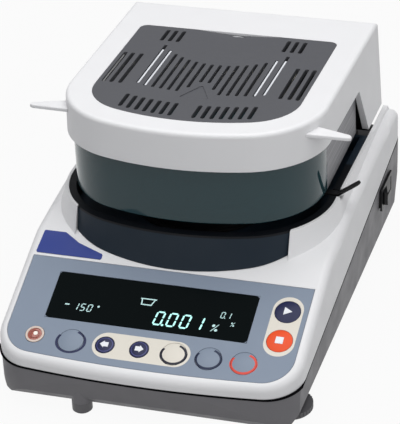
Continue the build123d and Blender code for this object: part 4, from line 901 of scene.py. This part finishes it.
@dataclass
class PartingLineShadow:
    """Painted shadow of the gap at the case's parting line: a dark band round the case."""

    proud: float = 0.12
    deep: float = 0.9
    above: float = 0.0
    below: float = 1.5
    side_draft: float = math.radians(2.2)
    draft_end_y: float = 149.3
    draft_share: float = 0.92
    rim_reach: float = 0.25

    def build(self) -> None:
        """Makes a narrow dark band round the tub's rim, a painted shadow of the parting gap.

        The rim's outline is the convex hull of the tub's points near the sloping parting plane. The band
        is that outline carried along four corners: out or in by a distance along the outline's normal, and
        up or down from the parting plane. It stands out further where the tub's drafted sides stand back.
        """
        node = frame["nodes"]["lower_case"]
        count = len(node.data.vertices)
        flat = np.empty(count * 3)
        node.data.vertices.foreach_get("co", flat)
        points = flat.reshape(-1, 3) / MM
        depth = SEAM_FRONT_Z + SEAM_SLOPE * (points[:, 1] - PANEL_FRONT_Y) - points[:, 2]
        rim = points[np.abs(depth - SEAM_GAP) < self.rim_reach][:, :2]
        rim = rim[geometry.convex_hull_2d([tuple(row) for row in rim])]
        after, before = np.roll(rim, -1, axis=0), np.roll(rim, 1, axis=0)
        area = float(np.sum(rim[:, 0] * after[:, 1] - after[:, 0] * rim[:, 1]))
        along = after - before
        normal = np.stack([along[:, 1], -along[:, 0]], axis=1) * math.copysign(1.0, area)
        normal /= np.linalg.norm(normal, axis=1, keepdims=True)
        seam = SEAM_FRONT_Z + SEAM_SLOPE * (rim[:, 1] - PANEL_FRONT_Y)
        rise = SEAM_SLOPE * np.clip(self.draft_end_y - rim[:, 1], 0.0, None)
        outer = self.proud + rise * math.tan(self.side_draft) * np.abs(normal[:, 0]) * self.draft_share
        steps = len(rim)
        inner = np.full(steps, -self.deep)
        corners = ((outer, self.above), (outer, self.below), (inner, self.below), (inner, self.above))
        rows = [np.column_stack([rim + normal * out[:, None], seam - drop]) for out, drop in corners]
        grid = np.concatenate(rows)
        index = np.arange(steps)
        faces = []
        for row in range(len(corners)):
            low, high = row * steps + index, ((row + 1) % len(corners)) * steps + index
            quads = np.stack([low, np.roll(low, -1), np.roll(high, -1), high], axis=1)
            faces += quads[:, ::-1 if area > 0 else 1].tolist()
        # The band is a painted shadow of the gap between the shell and the tub
        make_piece("parting_line_shadow", grid, faces, "seam_shadow", Body.BASE)


@dataclass
class SwitchMarks:
    """White ring mark on one end of the power rocker."""

    face_x: float = 110.0
    middle_y: float = 99.0
    middle_z: float = 47.0
    outer: float = 2.4
    inner: float = 1.8
    steps: int = 24
    thick: float = 1.2

    def build(self) -> None:
        """Makes the ring mark of the rocker's end."""
        plate = Plate()
        for quad in ring_quads(self.outer, self.inner, self.steps):
            outline = [(self.face_x, self.middle_y - a, self.middle_z + b) for a, b in reversed(quad)]
            plate.add(outline, (-self.thick, 0.0, 0.0))
        plate.piece("rocker_ring_mark", "print_white", Body.ROCKER, "switch_black")


class Dressing:
    """Gives each CAD node the finish of its record slot."""

    def build(self) -> None:
        """Assigns every node's material."""
        slots = {entry["node"]: entry["material_slot"] for entry in frame["record"]["subparts"]}
        for name, node in frame["nodes"].items():
            material = LIBRARY.get(slots[name])
            if not node.material_slots:
                node.data.materials.append(material)
            for place in node.material_slots:
                place.material = material
            LOG.info("%s: %s", name, slots[name])


@dataclass(frozen=True)
class Lamp:
    """A square area lamp, in metres and watts."""

    name: str
    place: Point
    size: float
    power: float
    aim: Point


LAMPS = (Lamp("overhead", (0.0, 0.05, 1.25), 1.3, 13.2, (0.0, 0.0, 0.1)),
         Lamp("side", (1.4, -1.0, 1.0), 0.9, 6.5, (0.0, 0.0, 0.1)),
         Lamp("front", (-0.3, -1.7, 0.45), 0.9, 2.4, (0.0, 0.0, 0.05)))


@dataclass
class Studio:
    """Camera, floor, lamps and world."""

    eye: Point = (0.43019, -1.30731, 0.88082)
    right: Point = (0.95584, 0.29075, -0.04288)
    up: Point = (-0.11173, 0.49444, 0.86200)
    ahead: Point = (-0.27182, 0.81914, -0.50509)
    lens: float = 189.57
    sensor: float = 36.0
    reach: float = 20.0
    floor_half: float = 6.0
    floor_colour: Colour = (0.42, 0.42, 0.42)
    floor_rough: float = 0.9
    floor_glow: float = 0.94
    world_colour: tuple[float, float, float, float] = (0.96, 0.97, 1.0, 1.0)
    world_strength: float = 0.31

    def build(self) -> None:
        """Makes the whole stage."""
        self.camera()
        self.floor()
        for lamp in LAMPS:
            self.lamp(lamp)
        self.world()
        bpy.context.scene.view_settings.view_transform = "Standard"

    def camera(self) -> None:
        """Places the camera that matches the photograph."""
        data = bpy.data.cameras.new("camera")
        data.lens = self.lens
        data.sensor_width = self.sensor
        data.clip_end = self.reach
        camera = bpy.data.objects.new("camera", data)
        bpy.context.scene.collection.objects.link(camera)
        columns = Matrix((self.right, self.up, tuple(-v for v in self.ahead))).transposed().to_4x4()
        columns.translation = Vector(self.eye)
        camera.matrix_world = columns
        bpy.context.scene.camera = camera

    def floor(self) -> None:
        """Makes the pale floor, which keeps the object's shadow.

        Seen by the camera, in a mirror or through glass it mostly glows, so it looks as pale as the photo's.
        """
        mesh = bpy.data.meshes.new("floor")
        half = self.floor_half
        corners = [(-half, -half, 0), (half, -half, 0), (half, half, 0), (-half, half, 0)]
        mesh.from_pydata(corners, [], [(0, 1, 2, 3)])
        material, tools, shader = start_material("floor")
        tools.feed(shader.inputs["Base Color"], self.floor_colour)
        shader.inputs["Roughness"].default_value = self.floor_rough
        path = tools.add("LightPath")
        mirrored = tools.math("MAXIMUM", path.outputs["Is Glossy Ray"], path.outputs["Is Transmission Ray"])
        seen = tools.math("MAXIMUM", path.outputs["Is Camera Ray"], mirrored)
        glow = tools.add("Emission", None, Color=(1.0, 1.0, 1.0), Strength=1.0)
        blend = tools.add("MixShader")
        tools.feed(blend.inputs[0], tools.math("MULTIPLY", seen, self.floor_glow))
        tools.feed(blend.inputs[1], shader.outputs[0])
        tools.feed(blend.inputs[2], glow.outputs[0])
        output = material.node_tree.nodes["Material Output"]
        tools.feed(output.inputs["Surface"], blend.outputs[0])
        mesh.materials.append(material)
        floor = bpy.data.objects.new("floor", mesh)
        bpy.context.scene.collection.objects.link(floor)

    def lamp(self, lamp: Lamp) -> None:
        """Adds an area lamp that faces its aim."""
        data = bpy.data.lights.new(lamp.name, "AREA")
        data.shape = "SQUARE"
        data.size = lamp.size
        data.energy = lamp.power
        holder = bpy.data.objects.new(lamp.name, data)
        holder.location = lamp.place
        holder.rotation_euler = (Vector(lamp.aim) - Vector(lamp.place)).to_track_quat("-Z", "Y").to_euler()
        bpy.context.scene.collection.objects.link(holder)

    def world(self) -> None:
        """Sets an even pale surrounding."""
        world = bpy.data.worlds.new("world")
        world.use_nodes = True
        background = world.node_tree.nodes["Background"]
        background.inputs[0].default_value = self.world_colour
        background.inputs[1].default_value = self.world_strength
        bpy.context.scene.world = world


def main() -> None:
    """Builds the dressed instrument and its stage."""
    logging.basicConfig(level=logging.INFO, format="%(name)s %(message)s")
    builders = (Dressing(), PanelPrint(), LevelDial(), CoverDetails(), PartingLineShadow(), SwitchMarks(), Studio())
    for builder in builders:
        LOG.info("building %s", type(builder).__name__)
        builder.build()


if __name__ == "__main__":
    main()
